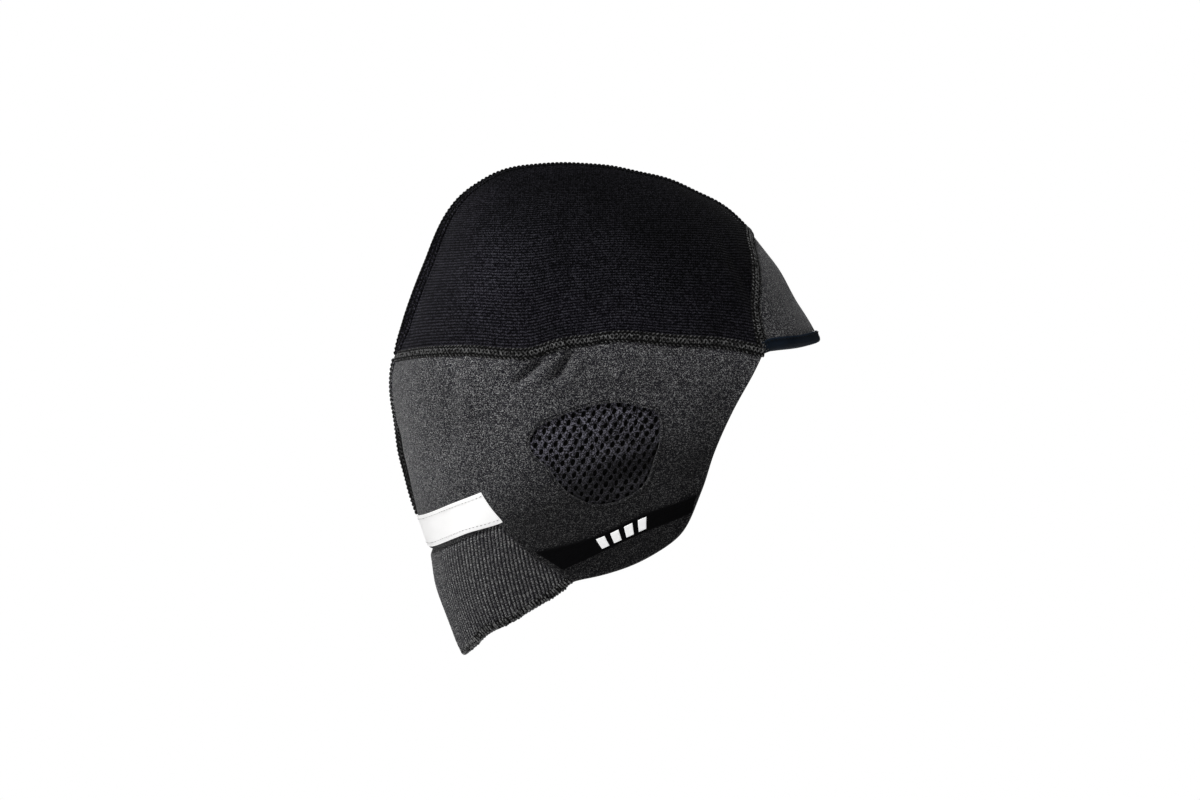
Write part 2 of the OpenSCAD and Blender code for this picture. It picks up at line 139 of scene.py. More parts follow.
def heading(v):
    return np.degrees(np.arctan2(v[..., 1], v[..., 0]))


def reach_of(v):
    return np.hypot(v[..., 0], v[..., 1])


def ease(u):
    v = np.clip(u, 0, 1)
    return v * v * (3 - 2 * v)


def hermite(p0, p1, m0, m1, h, u):
    """Cubic between two values with given slopes, over a span of length h."""
    return (
        (2 * u**3 - 3 * u**2 + 1) * p0 + (u**3 - 2 * u**2 + u) * h * m0
        + (3 * u**2 - 2 * u**3) * p1 + (u**3 - u**2) * h * m1
    )


class PolarOutline:
    """Closed outline about a middle point, as a smooth radius in every direction."""

    def __init__(self, points, middle):
        arms = np.asarray(points, float) - middle
        self.first = heading(arms[0])
        angle = (heading(arms) - self.first) % 360
        radius = reach_of(arms)
        angle = np.concatenate([[angle[-1] - 360], angle, angle[:2] + 360])
        radius = np.concatenate([radius[-1:], radius, radius[:2]])
        self.angle, self.radius = angle[1:-1], radius[1:-1]
        self.slope = (radius[2:] - radius[:-2]) / (angle[2:] - angle[:-2])

    def __call__(self, direction):
        a = (np.asarray(direction) - self.first) % 360
        i = np.clip(np.searchsorted(self.angle, a, side="right") - 1, 0, len(self.angle) - 2)
        span = self.angle[i + 1] - self.angle[i]
        return hermite(self.radius[i], self.radius[i + 1], self.slope[i], self.slope[i + 1],
                       span, (a - self.angle[i]) / span)


def run_lengths(points):
    """Distance of every point of a run from its first one."""
    return np.concatenate([[0], np.cumsum(np.linalg.norm(np.diff(points, axis=0), axis=1))])


def between(at, run, points):
    """Points between those of a run, at distances along it."""
    return np.stack([np.interp(at, run, column) for column in points.T], -1)


def smooth(points, count):
    """A smooth curve through points, as count steps of even length."""
    p = np.asarray(points, float)
    run = run_lengths(p)
    n = len(p)
    before, after = np.maximum(np.arange(n) - 1, 0), np.minimum(np.arange(n) + 1, n - 1)
    slope = (p[after] - p[before]) / (run[after] - run[before])[:, None]
    s = np.linspace(0, run[-1], count + 1)
    i = np.clip(np.searchsorted(run, s, side="right") - 1, 0, n - 2)
    span = (run[i + 1] - run[i])[:, None]
    return hermite(p[i], p[i + 1], slope[i], slope[i + 1], span, (s - run[i])[:, None] / span)


FORM_MIDDLE = fit((-6, -20))
head_radius = PolarOutline(fit(CENTRE_OUTLINE), FORM_MIDDLE)


def swell(direction, start, full, ease_off, end):
    """Share of its full height that a relief has where it rises and fades along its headings."""
    a = direction % 360
    return ease((a - start) / (full - start)) * ease((end - a) / (end - ease_off))


def rim_angle(direction):
    """Angle that the form turns through from ear to centre line; under 90 leaves a ridge."""
    return np.radians(90 - RIDGE * swell(direction, *RIDGE_HEADINGS))


def welt_share(u):
    """Share of its full height that the centre seam's welt has."""
    return swell(heading(u - FORM_MIDDLE), *WELT_HEADINGS)


def low_fold_share(u):
    """Share of its full height that the back seam's fold has, above the reflective strip."""
    return swell(heading(u - FORM_MIDDLE), *heading(fit(LOW_FOLD) - FORM_MIDDLE) % 360)


def unfold(points):
    """Side-view points on the unfolded plane, in which the skin is smooth across the cap."""
    d = fit(points) - FORM_MIDDLE
    a, reach = heading(d), reach_of(d)
    r, rim = head_radius(a), rim_angle(a)
    turn = np.arcsin(np.minimum(1, reach / r) * np.sin(rim)) / rim
    return FORM_MIDDLE + d * (r * turn / reach)[..., None]


def arm(direction, reach):
    """Steps of a reach in each direction."""
    a = np.radians(direction)
    return np.stack([np.cos(a), np.sin(a)], -1) * reach[..., None]


def on_centre(direction):
    return FORM_MIDDLE + arm(direction, head_radius(direction))


def at_centre(point):
    return on_centre(heading(fit(point) - FORM_MIDDLE))


def centre_run(start, end, count, margin=0.0):
    """Run along the centre line between two side-view points, anticlockwise."""
    a = heading(fit(start) - FORM_MIDDLE) + margin
    b = a + (heading(fit(end) - FORM_MIDDLE) - a) % 360 - margin
    return on_centre(np.linspace(a, b, count + 1))


def to_centre(line, end, count):
    """Smooth curve through side-view points that ends on the centre line."""
    return smooth(np.vstack([unfold(line), at_centre(end)]), count)


def skin(u):
    """Points of the right half's skin, in millimetres, for points of the unfolded plane."""
    d = u - FORM_MIDDLE
    reach, a = reach_of(d), heading(d)
    r, rim = head_radius(a), rim_angle(a)
    turn = rim * reach / r
    spread = np.sin(turn) / np.sin(rim)
    side = FORM_MIDDLE + d * (r * spread / np.maximum(reach, 1e-9))[..., None]
    lower = (TAPER_LEVELS[0] - side[..., 1]) / (TAPER_LEVELS[0] - TAPER_LEVELS[1])
    taper = 1 - NECK_TAPER * ease(lower)
    width = (np.cos(turn) - np.cos(rim)) / (1 - np.cos(rim)) * (1 + FULLNESS * spread**2)
    return np.stack([side[..., 0], -HALF_WIDTH * width * taper, side[..., 1]], -1)


def unit(v):
    return v / np.maximum(np.linalg.norm(v, axis=-1, keepdims=True), 1e-12)


def outward(u):
    dx, dz = np.array([SLOPE_STEP, 0]), np.array([0, SLOPE_STEP])
    return unit(np.cross(skin(u + dx) - skin(u - dx), skin(u + dz) - skin(u - dz)))


# ------------------------------------------------------- folds of the worn cloth
# A fold is [start, end, depth, half width], in side-view points; a negative depth is a hollow.

FOLDS = [
    [(-26, -6), (-39, -19), -3.5, 2.5], [(-20.5, -8), (-32, -21), 1.1, 3.0],
    [(-11, -4), (-19.5, -17), -3.4, 2.4], [(-5, -5), (-13, -19), 1.1, 3.2],
    [(-36, -4), (-52, -14), 0.8, 3.0],
    [(-68, -6), (-69, -52), -1.0, 4.0], [(-60, -9), (-60, -44), 0.8, 5],
    [(84, 14), (58, 62), -1.1, 5], [(78, 8), (60, 48), 0.9, 6],
    [(8, -10), (62, -13), 1.6, 9], [(-46, -52), (-80, -60), 0.8, 6],
    [(3, -56), (36, -44), 1.5, 4.0], [(8, -66), (37, -54), -2.0, 5.5],
    [(8, -110), (46, -92), -1.8, 10], [(52, -80), (66, -40), -1.2, 8],
]


def folds(u):
    """Height of the folds and of the slight unevenness of worn cloth, in millimetres."""
    x, z = u[..., 0], u[..., 1]
    height = 0.35 * np.sin(x / 11.0 + 1.3 * np.sin(z / 17.0)) * np.sin(z / 13.0 + 0.8)
    height += 0.22 * np.sin(x / 5.3 - z / 7.9 + 2.0) * np.sin(z / 9.1 + x / 23.0)
    d = u - FORM_MIDDLE
    to_rim = (head_radius(heading(d)) - reach_of(d)) * CLOTH_SCALE
    height += 0.6 * welt_share(u) * np.exp(-((to_rim - 5.5) / 2.0) ** 2)
    height -= LOW_FOLD_HEIGHT * low_fold_share(u) * np.exp(-((to_rim / 8) ** 2))
    for start, end, depth, half in FOLDS:
        a, b = unfold(start), unfold(end)
        line = b - a
        t = ((u - a) @ line) / (line @ line)
        aside = (u - a) @ np.array([-line[1], line[0]]) / np.hypot(*line) * CLOTH_SCALE
        bend = 0.12 * half * np.sin(t * 5)
        ends = ease((t + 0.35) / 0.5) * ease((1.25 - t) / 0.7)
        height += depth * np.exp(-((aside - bend) / half) ** 2) * ends
    return height


class Spots:
    """Points of the skin with their outward directions and cloth coordinates."""

    def __init__(self, u=None, parts=None):
        if parts is None:
            out = outward(u)
            parts = (skin(u) + out * folds(u)[..., None], out, (u - FORM_MIDDLE) * CLOTH_SCALE)
        self.at, self.out, self.cloth = parts

    def lifted(self, height):
        return self.at + self.out * np.asarray(height)[..., None]

    def both_sides(self):
        """Carries rows that end on the centre line over to the left half."""
        at, out, cloth = self.at.copy(), self.out.copy(), self.cloth
        at[..., -1, 1] = out[..., -1, 1] = 0
        out[..., -1, :] = unit(out[..., -1, :])
        back = np.s_[..., -2::-1, :]
        return Spots(parts=(
            np.concatenate([at, at[back] * MIRROR], -2),
            np.concatenate([out, out[back] * MIRROR], -2),
            np.concatenate([cloth, 2 * cloth[..., -1:, :] - cloth[back]], -2),
        ))


def fill_edges(low, high, left, right):
    """Grid that fills the space inside four edges."""
    u = np.linspace(0, 1, len(low))[:, None]
    v = np.linspace(0, 1, len(left))[:, None, None]
    return (
        (1 - v) * low + v * high + (1 - u) * left[:, None] + u * right[:, None]
        - (1 - v) * ((1 - u) * low[0] + u * low[-1]) - v * ((1 - u) * high[0] + u * high[-1])
    )


def fill_between(low, high, shares):
    v = shares[:, None, None]
    return low * (1 - v) + high * v


def even(curve, count):
    """The same run on the unfolded plane, in steps that are even on the skin."""
    run = run_lengths(skin(curve))
    return between(np.linspace(0, run[-1], count + 1), run, curve)


def column_distances(spots):
    """Distances of a grid's spots from its first and from its last row."""
    step = np.linalg.norm(np.diff(spots.at, axis=0), axis=-1)
    none = np.zeros((1, step.shape[1]))
    from_last = np.cumsum(step[::-1], axis=0)[::-1]
    return np.concatenate([none, np.cumsum(step, axis=0)]), np.concatenate([from_last, none])


# ------------------------------------------------------------------ meshes

def merged(*lists):
    return [np.concatenate(each) for each in lists]


def show(name, data):
    """A new object of the scene."""
    thing = bpy.data.objects.new(name, data)
    bpy.context.scene.collection.objects.link(thing)
    return thing


def grid_faces(rows, cols, wrap=False):
    i, j = np.meshgrid(np.arange(rows - 1), np.arange(cols if wrap else cols - 1), indexing="ij")
    a, b = i * cols + j, i * cols + (j + 1) % cols
    return np.stack([a, b, b + cols, a + cols], -1).reshape(-1, 4)


def put_mesh(name, points, faces, cloth, parts=None, merge=True):
    """Mesh object from points in millimetres and faces of four corners, with cloth coordinates."""
    mesh = bpy.data.meshes.new(name)
    mesh.vertices.add(len(points))
    mesh.vertices.foreach_set("co", (np.asarray(points, float) * MM).ravel())
    mesh.loops.add(faces.size)
    mesh.loops.foreach_set("vertex_index", faces.ravel().astype(np.int32))
    mesh.polygons.add(len(faces))
    mesh.polygons.foreach_set("loop_start", np.arange(0, faces.size, 4, dtype=np.int32))
    mesh.update(calc_edges=True)
    layer = mesh.uv_layers.new(name="cloth")
    layer.data.foreach_set("uv", cloth[faces.ravel()].ravel())
    if parts is not None:
        mesh.polygons.foreach_set("material_index", parts)
    work = bmesh.new()
    work.from_mesh(mesh)
    if merge:
        bmesh.ops.remove_doubles(work, verts=work.verts, dist=1e-7)
    bmesh.ops.recalc_face_normals(work, faces=work.faces)
    work.to_mesh(mesh)
    work.free()
    mesh.polygons.foreach_set("use_smooth", np.ones(len(mesh.polygons), bool))
    mesh.update()
    return show(name, mesh)


class Sheet:
    """Cloth as a grid of spots, with a lower and an upper side; ring closes its columns."""

    def __init__(self, spots, low, high, ring=False, cloth=None):
        self.cloth = spots.cloth if cloth is None else cloth
        self.low, self.high, self.ring = spots.lifted(low), spots.lifted(high), ring

    def border(self):
        """Border points as (row, column) and the points next to them inside the sheet."""
        rows, cols = self.high.shape[:2]
        if self.ring:
            j = np.arange(cols)
            ends = [(np.zeros(cols, int), j), (np.full(cols, rows - 1), j)]
        else:
            i, j = np.arange(rows), np.arange(cols)
            first, last = np.zeros(cols - 1, int), np.full(cols - 1, rows - 1)
            right, left = np.full(rows - 1, cols - 1), np.zeros(rows - 1, int)
            ends = [(
                np.concatenate([first, i[:-1], last, i[:0:-1]]),
                np.concatenate([j[:-1], right, j[:0:-1], left]),
            )]
        for i, j in ends:
            inner_j = j if self.ring else np.clip(j, 1, cols - 2)
            yield i, j, np.clip(i, 1, rows - 2), inner_j

    def skins(self, roll):
        """Both sides and the rounded border, which turns in roll steps from one to the other."""
        rows, cols = self.high.shape[:2]
        cells = grid_faces(rows, cols, self.ring)
        count = rows * cols
        points = [self.high.reshape(-1, 3), self.low.reshape(-1, 3)]
        cloth = [self.cloth.reshape(-1, 2)] * 2
        faces = [cells, cells[:, ::-1] + count]
        start = 2 * count
        for i, j, ni, nj in self.border():
            top, bottom = self.high[i, j], self.low[i, j]
            middle, half = (top + bottom) / 2, (top - bottom) / 2
            thick = np.linalg.norm(half, axis=1, keepdims=True)
            away = unit(middle - (self.high[ni, nj] + self.low[ni, nj]) / 2) * thick
            turns = np.radians(np.linspace(0, 180, roll + 2)[1:-1])
            loops = [i * cols + j]
            for turn in turns:
                points.append(middle + half * math.cos(turn) + away * math.sin(turn))
                cloth.append(self.cloth[i, j])
                loops.append(start + np.arange(len(i)))
                start += len(i)
            loops.append(i * cols + j + count)
            for a, b in zip(loops, loops[1:]):
                faces.append(np.stack([a, b, np.roll(b, -1), np.roll(a, -1)], -1))
        return merged(points, faces, cloth)

    def mesh(self, name, roll=3):
        return put_mesh(name, *self.skins(roll))


class Lane:
    """A run along the skin, with places at any distance along, aside and above it."""

    def __init__(self, spots, closed=False):
        at, out = spots.at, spots.out
        if closed:
            at, out = np.concatenate([at, at[:1]]), np.concatenate([out, out[:1]])
            before, after = np.concatenate([at[-2:-1], at[:-1]]), np.concatenate([at[1:], at[1:2]])
        else:
            before, after = np.concatenate([at[:1], at[:-1]]), np.concatenate([at[1:], at[-1:]])
        side = unit(np.cross(out, after - before))
        self.run = run_lengths(at)
        self.length, self.closed = self.run[-1], closed
        self.table = np.concatenate([at, side, out], -1)

    def place(self, along, aside, above):
        along, aside, above = np.broadcast_arrays(along, aside, above)
        s = along % self.length if self.closed else np.clip(along, 0, self.length)
        at, side, out = np.split(between(s, self.run, self.table), 3, axis=-1)
        return at + unit(side) * aside[..., None] + unit(out) * above[..., None]

    def band(self, profile, step, wave=None):
        """Closed skin of a profile of (aside, above) points that is carried along in steps."""
        profile = np.asarray(profile, float)
        s = np.linspace(0, self.length, int(self.length / step) + 1)[:-1 if self.closed else None]
        along, k = np.meshgrid(s, np.arange(len(profile)), indexing="ij")
        aside, above = profile[k, 0], profile[k, 1]
        if wave is not None:
            aside, above = wave(along, aside, above)
        points = self.place(along, aside, above)
        rows, cols = points.shape[:2]
        faces = grid_faces(rows + (1 if self.closed else 0), cols, wrap=True) % (rows * cols)
        cloth = np.stack([along, aside], -1)
        caps = np.zeros((0, 4), int)
        if not self.closed:
            half = cols // 2
            k = np.arange(half - 1 if cols % 2 == 0 else half)
            first = np.stack([k, k + 1, cols - 2 - k, cols - 1 - k], -1)
            last = first + (rows - 1) * cols
            caps = np.concatenate([first[:, ::-1], last])
        return points.reshape(-1, 3), np.concatenate([faces, caps]), cloth.reshape(-1, 2)


# The closing faces in tubes are for six sides
TUBE_SIDES = 6
TUBE_TAPER = 0.35


def tubes(paths, radius):
    """Threads along paths of the same number of points, with closed and tapered ends."""
    count, n = paths.shape[:2]
    tangent = unit(np.gradient(paths, axis=1))
    first = unit(np.cross(tangent, np.array([0.31, 0.52, 0.79])))
    second = np.cross(tangent, first)
    turn = np.arange(TUBE_SIDES) * 2 * math.pi / TUBE_SIDES
    thick = np.full(n, float(radius))
    thick[[0, -1]] *= TUBE_TAPER
    ring = first[:, :, None] * np.cos(turn)[:, None] + second[:, :, None] * np.sin(turn)[:, None]
    points = (paths[:, :, None] + ring * thick[:, None, None]).reshape(-1, 3)
    one = np.concatenate([
        grid_faces(n, TUBE_SIDES, wrap=True), [[0, 1, 2, 3], [0, 3, 4, 5]],
        np.array([[3, 2, 1, 0], [5, 4, 3, 0]]) + (n - 1) * TUBE_SIDES,
    ])
    faces = (one + (np.arange(count) * n * TUBE_SIDES)[:, None, None]).reshape(-1, 4)
    along, around = np.meshgrid(np.arange(n), np.arange(float(TUBE_SIDES)), indexing="ij")
    cloth = np.tile(np.stack([along, around], -1).reshape(-1, 2), (count, 1))
    return points, faces, cloth


def join(name, *built):
    """One piece from several built skins; the number after each is its material."""
    points, faces, cloth, parts, start = [], [], [], [], 0
    for (p, f, c), part in built:
        points.append(p), faces.append(f + start), cloth.append(c)
        parts.append(np.full(len(f), part, np.int32))
        start += len(p)
    return put_mesh(name, *merged(points, faces, cloth, parts), merge=False)


def finished(piece, materials, node):
    """Materials, the record's slot and the CAD node that a piece stands for."""
    for material in materials:
        piece.data.materials.append(material)
    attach(piece, "root")
    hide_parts(node)
    return piece


def left_of(piece, node):
    """The left-hand copy of a right-hand piece, which stands for its own CAD node."""
    mesh = piece.data.copy()
    mesh.name = piece.name.replace("right", "left")
    points = np.zeros(len(mesh.vertices) * 3)
    mesh.vertices.foreach_get("co", points)
    mesh.vertices.foreach_set("co", (points.reshape(-1, 3) * MIRROR).ravel())
    mesh.flip_normals()
    mesh.update()
    return finished(show(mesh.name, mesh), [], node.replace("right", "left"))


def both_hands(piece, materials, node):
    return finished(piece, materials, node), left_of(piece, node)


class CentreLane(Lane):
    """A run along the centre line, where the cloth falls away to both sides."""

    def __init__(self, start, end, count, margin):
        line = centre_run(start, end, count, margin)
        spots, beside = Spots(line), Spots(FORM_MIDDLE + (line - FORM_MIDDLE) * 0.97)
        spots.at[:, 1] = spots.out[:, 1] = 0
        spots.out = unit(spots.out)
        # How steeply the cloth falls away beside the line
        drop = np.einsum("ij,ij->i", spots.at - beside.at, spots.out)
        self.fall = drop / np.abs(beside.at[:, 1])
        welt, low = welt_share(line), low_fold_share(line)
        self.folded, self.crest = welt + low, WELT_HEIGHT * welt + LOW_FOLD_HEIGHT * low
        super().__init__(spots)

    def place(self, along, aside, above):
        fall, folded, crest = (
            np.interp(along, self.run, share) for share in (self.fall, self.folded, self.crest)
        )
        x = aside * (1 - WELT_FOLD * folded)
        crest = crest * np.maximum(0, 1 - np.abs(aside) / (CENTRE_SEAM_WIDTH / 2))
        drop = fall * (np.sqrt(x**2 + 0.4) - 0.63) + x**2 / 190
        return super().place(along, x, above + crest - drop)


# ------------------------------------------------------------------ crown

KNIT_ROW = 1.5
KNIT_RIDGE = 0.18
ROW_SLICES = 4
CROWN_COLUMNS = 124
HALVINGS = 40
# Share of the way up to the top that the slices take, evenly in angle
CROWN_SHARE = 0.985
# Where the search for a slice's two ends starts, outside the head, and a front with no brow
CROWN_REACH = (-130.0, 110.0)
NO_LIMIT = 200


def unfold_side(p):
    """As unfold, for side-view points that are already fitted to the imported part."""
    return unfold(p / FIT[[0, 2]])


def crown_seam_run(count):
    return even(smooth(np.vstack([at_centre(CROWN_SEAM_BACK), unfold(CROWN_SEAM)]), FINE), count)


def brow_seam_run(count):
    return even(to_centre(BROW_SEAM, BROW_SEAM_TOP, FINE), count)


def crown_cloth():
    """Crown panel in slices that follow the rows of the knit, from the seam to the top."""
    seam, brow = skin(crown_seam_run(FINE)), skin(brow_seam_run(SHORT))
    rim = on_centre(np.linspace(0, 180, 721))
    top = rim[np.argmax(rim[:, 1])]
    level = top[1] * np.sin(np.linspace(0, CROWN_SHARE, 800) * math.pi / 2)
    middle = skin(unfold_side(np.stack([np.zeros_like(level), level], -1)))
    run = run_lengths(middle)
    slices = int(run[-1] / KNIT_ROW * ROW_SLICES)
    height = np.arange(slices + 1) * KNIT_ROW / ROW_SLICES
    level = np.interp(height, run, level)
    # Share of the seam's own height that a slice at that level still follows
    share = (1 - level / top[1]) ** 1.5

    def side_view(x, level, share):
        return np.stack([x, level + share * np.interp(x, seam[:, 0], seam[:, 2])], -1)

    def within(x):
        p = side_view(x, level, share)
        d = p - FORM_MIDDLE
        front = np.interp(p[:, 1], brow[:, 2], brow[:, 0], right=NO_LIMIT)
        return (reach_of(d) < head_radius(heading(d))) & (x <= front)

    ends = []
    for far in CROWN_REACH:
        out, inn = np.full(slices + 1, far), np.full(slices + 1, top[0])
        for _ in range(HALVINGS):
            half = (out + inn) / 2
            ok = within(half)
            inn, out = np.where(ok, half, inn), np.where(ok, out, half)
        ends.append(inn)
    t = (1 - np.cos(np.linspace(0, math.pi, 201))) / 2
    rows, cloth = [], []
    for i in range(slices + 1):
        x = ends[0][i] + (ends[1][i] - ends[0][i]) * t
        u = unfold_side(side_view(x, level[i], share[i]))
        s = run_lengths(skin(u))
        even_s = np.linspace(0, s[-1], CROWN_COLUMNS + 1)
        origin = np.interp(top[0], x, s)
        rows.append(between(even_s, s, u))
        cloth.append(np.stack([even_s - origin, np.full_like(even_s, height[i])], -1))
    cloth = np.array(cloth)
    ridge = KNIT_RIDGE * np.cos(cloth[..., 1] / KNIT_ROW * 2 * math.pi)
    half = JERSEY_THICK / 2
    return Sheet(Spots(np.array(rows)), -half - ridge * 0.5, half + ridge, cloth=cloth)


# ------------------------------------------------------------------ brow

def brow_edge_run(count):
    return even(to_centre(BROW_EDGE, BROW_TIP, 300), count)


def brow_cloth():
    rows, cols = 72, 60
    left = brow_seam_run(rows)
    right = centre_run(BROW_TIP, BROW_SEAM_TOP, rows)
    low = brow_edge_run(cols)
    high = np.repeat(left[-1:], cols + 1, 0)
    grid = fill_edges(low, high, left, right)
    half = HEATHER_THICK / 2
    return Sheet(Spots(grid[:-1]).both_sides(), -half, half)


# ------------------------------------------------------------------ sides

ear_middle = unfold(EAR_MIDDLE)
ear_radius = PolarOutline(unfold(EAR_OUTLINE), ear_middle)


def ear_edge(direction, margin=0.0):
    return ear_middle + arm(direction, ear_radius(direction) + margin / CLOTH_SCALE)


SIDE_RINGS = 58
# How far the rim reaches over the rib, draws back at the face and runs under the strip
OVER_RIB, BACK_AT_FACE, UNDER_STRIP = 0.6, 0.8, 2.0


def side_cloth():
    """Side panel in rings from the ear hole out to its rim, with a turned edge over the rib."""
    runs = [
        crown_seam_run(SHORT)[::-1],
        centre_run(CROWN_SEAM_BACK, RIB_TOP_BACK, 100),
        even(to_centre(RIB_TOP, RIB_TOP_BACK, SHORT), 50)[::-1],
        even(smooth(unfold(RIB_SEAM), SHORT), 50)[::-1],
        even(smooth(unfold(FACE_EDGE), FINE), 120)[::-1],
    ]
    rim = np.concatenate([run[:-1] for run in runs])
    kind = np.concatenate([np.full(len(run) - 1, k) for k, run in enumerate(runs)])

    def near(k, reach):
        """Share of the rim around a place that belongs to run k."""
        flag = (kind == k).astype(float)
        kernel = np.hanning(2 * reach + 3)[1:-1]
        wide = np.concatenate([flag[-reach:], flag, flag[:reach]])
        return np.convolve(wide, kernel / kernel.sum(), "valid")

    over_rib, at_face, under_strip = near(3, 5), near(4, 6), near(2, 2)
    rim = rim + unit(rim - ear_middle) * (over_rib * OVER_RIB - at_face * BACK_AT_FACE)[:, None]
    rim[:, 1] += under_strip * UNDER_STRIP
    hole = ear_edge(heading(rim - ear_middle))
    t = np.linspace(0, 1, SIDE_RINGS + 1)
    t = 0.55 * t + 0.45 * (1 - np.cos(t * math.pi)) / 2
    spots = Spots(fill_between(hole, rim, t))
    _, to_rim = column_distances(spots)
    along = run_lengths(spots.at[-1])

    def relief(share, height, width):
        """Height that eases off from the rim over a width."""
        return share * height * ease(1 - to_rim / width)

    raised, rolled = relief(over_rib, 0.95, 7), relief(at_face, 0.55, 4.5)
    pucker = relief(kind == 0, 0.28, 9) * np.sin(along / 1.45 + 0.8 * np.sin(along / 9))
    half = HEATHER_THICK / 2
    high = half + raised + rolled + pucker
    low = -half + raised - rolled + pucker
    return Sheet(spots, low, high, ring=True)


# ------------------------------------------------------------------ nape

WALE_PITCH = 2.1
WALE_COLUMNS = 4
WALE_LEAN = 1.35
RIB_UNDERLAP = 3.4
RIB_CORNER = (-23.7, -78)
RIB_REACH = [(-43.5, -82.5), (-62, -88.5)]
RIB_REACH_BACK = (-81.6, -94.8)


def nape_edge_run(count):
    return even(to_centre(NAPE_EDGE, NAPE_TIP, FINE), count)


def nape_cloth():
    """Ribbed nape panel. Its columns follow the wales, and end under the side panel's edge."""
    low = nape_edge_run(FINE)
    length = np.linalg.norm(np.diff(skin(low), axis=0), axis=1).sum()
    wales = round(length / WALE_PITCH)
    cols, rows = wales * WALE_COLUMNS, 72
    low = even(low, cols)
    high = even(to_centre([RIB_CORNER] + RIB_REACH, RIB_REACH_BACK, FINE), FINE)
    lean = np.linspace(0, 1, cols + 1) ** WALE_LEAN * FINE
    high = between(lean, np.arange(FINE + 1), high)
    left = low[0] + (high[0] - low[0]) * np.linspace(0, 1, rows + 1)[:, None]
    right = centre_run(RIB_REACH_BACK, NAPE_TIP, rows)[::-1]
    grid = fill_edges(low, high, left, right)
    limit = np.concatenate([
        smooth(unfold(RIB_SEAM), SHORT), to_centre(RIB_TOP, RIB_TOP_BACK, SHORT)[1:],
    ])[::-1]
    v, fine = np.linspace(0, 1, rows + 1), np.linspace(0, 1, 1001)
    cut = np.ones(cols + 1)
    for j in range(cols + 1):
        line = between(fine, v, grid[:, j])
        over = line[:, 1] > np.interp(line[:, 0], *limit.T)
        if over.any():
            cut[j] = fine[np.argmax(over)]
    reach = np.linalg.norm(high - low, axis=1) * CLOTH_SCALE
    cut = np.minimum(1, cut + RIB_UNDERLAP / reach)
    grid = np.stack([between(v * cut[j], v, grid[:, j]) for j in range(cols + 1)], 1)
    spots = Spots(grid).both_sides()
    wale = np.minimum(np.arange(2 * cols + 1), np.arange(2 * cols, -1, -1)) / WALE_COLUMNS
    up, to_top = column_distances(spots)
    ridge = np.abs(np.cos(wale * math.pi)) ** 0.7 * 0.55 - 0.3
    ridge = ridge * (0.6 + 0.4 * ease(to_top / 6)) + 0.04 * np.sin(up / 0.65 * math.pi)
    sunk = -1.9 * ease(1.25 - to_top / 4.6)
    half = RIB_THICK / 2
    cloth = np.stack([np.broadcast_to(wale * WALE_PITCH, up.shape), up], -1)
    return Sheet(spots, sunk - half * 0.75 - 0.3 * ridge, sunk + half * 0.8 + ridge, cloth=cloth)


# ------------------------------------------------------------------ seams and trims

def oval(count, middle, across, up, start=0.0):
    """Profile of points round an oval, given its middle and its two radii."""
    turn = np.linspace(0, 2 * math.pi, count + 1)[:-1] + start
    return np.stack([middle[0] + across * np.cos(turn), middle[1] + up * np.sin(turn)], -1)


def places(lane, pitch):
    """Middles of the steps of even length that a lane is divided into, as a column."""
    count = int(lane.length / pitch)
    return (np.arange(count)[:, None] + 0.5) * lane.length / count


def stitches(lane, pitch, share, aside, foot, arch, offset=0.5):
    """Paths of a row of stitches, which arch over the cloth for a share of their pitch."""
    count = int(lane.length / pitch)
    t = np.linspace(-0.5, 0.5, 6)
    s = (np.arange(count)[:, None] + offset + share * t) * lane.length / count
    return lane.place(s, aside, foot + arch * np.cos(t * math.pi))


FLATLOCK_PITCH = 2.3
ZIGZAG_PITCH = 2.1
FINE_THREAD = 0.2


def flatlock(name, lane, width=SEAM_WIDTH, foot=CLOTH_TOP):
    """Flatlock seam: a low cover, two rows of stitches and the looper threads across them."""
    side, top = width / 2, foot + 0.75 * SEAM_RISE
    half = [
        (0, top - 0.1), (0.3, top), (0.5, top - 0.02), (0.62, top - 0.5), (0.74, top - 0.02),
        (0.9, top - 0.12), (1.04, foot), (1.0, foot - 0.5),
    ]
    profile = [(share * side, up) for share, up in half]
    profile += [(-share * side, up) for share, up in half[:0:-1]]

    def puff(along, aside, above):
        beat = np.cos(along / FLATLOCK_PITCH * 2 * math.pi)
        return aside * (1 + 0.02 * beat), above + 0.06 * beat * (above > foot)

    cover = lane.band(profile, 0.75, puff)
    needle = [
        stitches(lane, FLATLOCK_PITCH, share=0.82, aside=row, foot=top - 0.36, arch=0.3)
        for row in (-0.62 * side, 0.62 * side)
    ]
    k, t = places(lane, ZIGZAG_PITCH), np.linspace(-1, 1, 6)
    arch = top + 0.04 + 0.12 * np.cos(t * math.pi / 2)
    looper = [lane.place(k + slant * t, 0.5 * side * t, arch) for slant in (0.95, -0.95)]
    looper += [
        lane.place(k + 0.6 * t, edge * side * (0.87 + 0.13 * t), top - 0.1 - 0.28 * (t + 1) / 2)
        for edge in (-1, 1)
    ]
    return join(
        name, (cover, 0), (tubes(np.concatenate(needle), 0.34), 1),
        (tubes(np.concatenate(looper), 0.33), 2),
    )


def overlock(name, run):
    """Overlocked seam on the inside: a soft cord of cloth wrapped with threads."""
    lane = Lane(run)
    side, rise, foot = 2.0, 1.2, -RIB_THICK / 2 - 1.6
    cover = lane.band(oval(10, (0, foot - rise / 2), -side, rise / 2, start=0.3), 0.8)
    t = np.linspace(-1, 1, 7)
    arch = foot - rise - 0.05 + 0.35 * rise * t**2
    wraps = lane.place(places(lane, 1.3) + 0.5 * t, side * t, arch)
    return join(name, (cover, 0), (tubes(wraps, 0.24), 2))


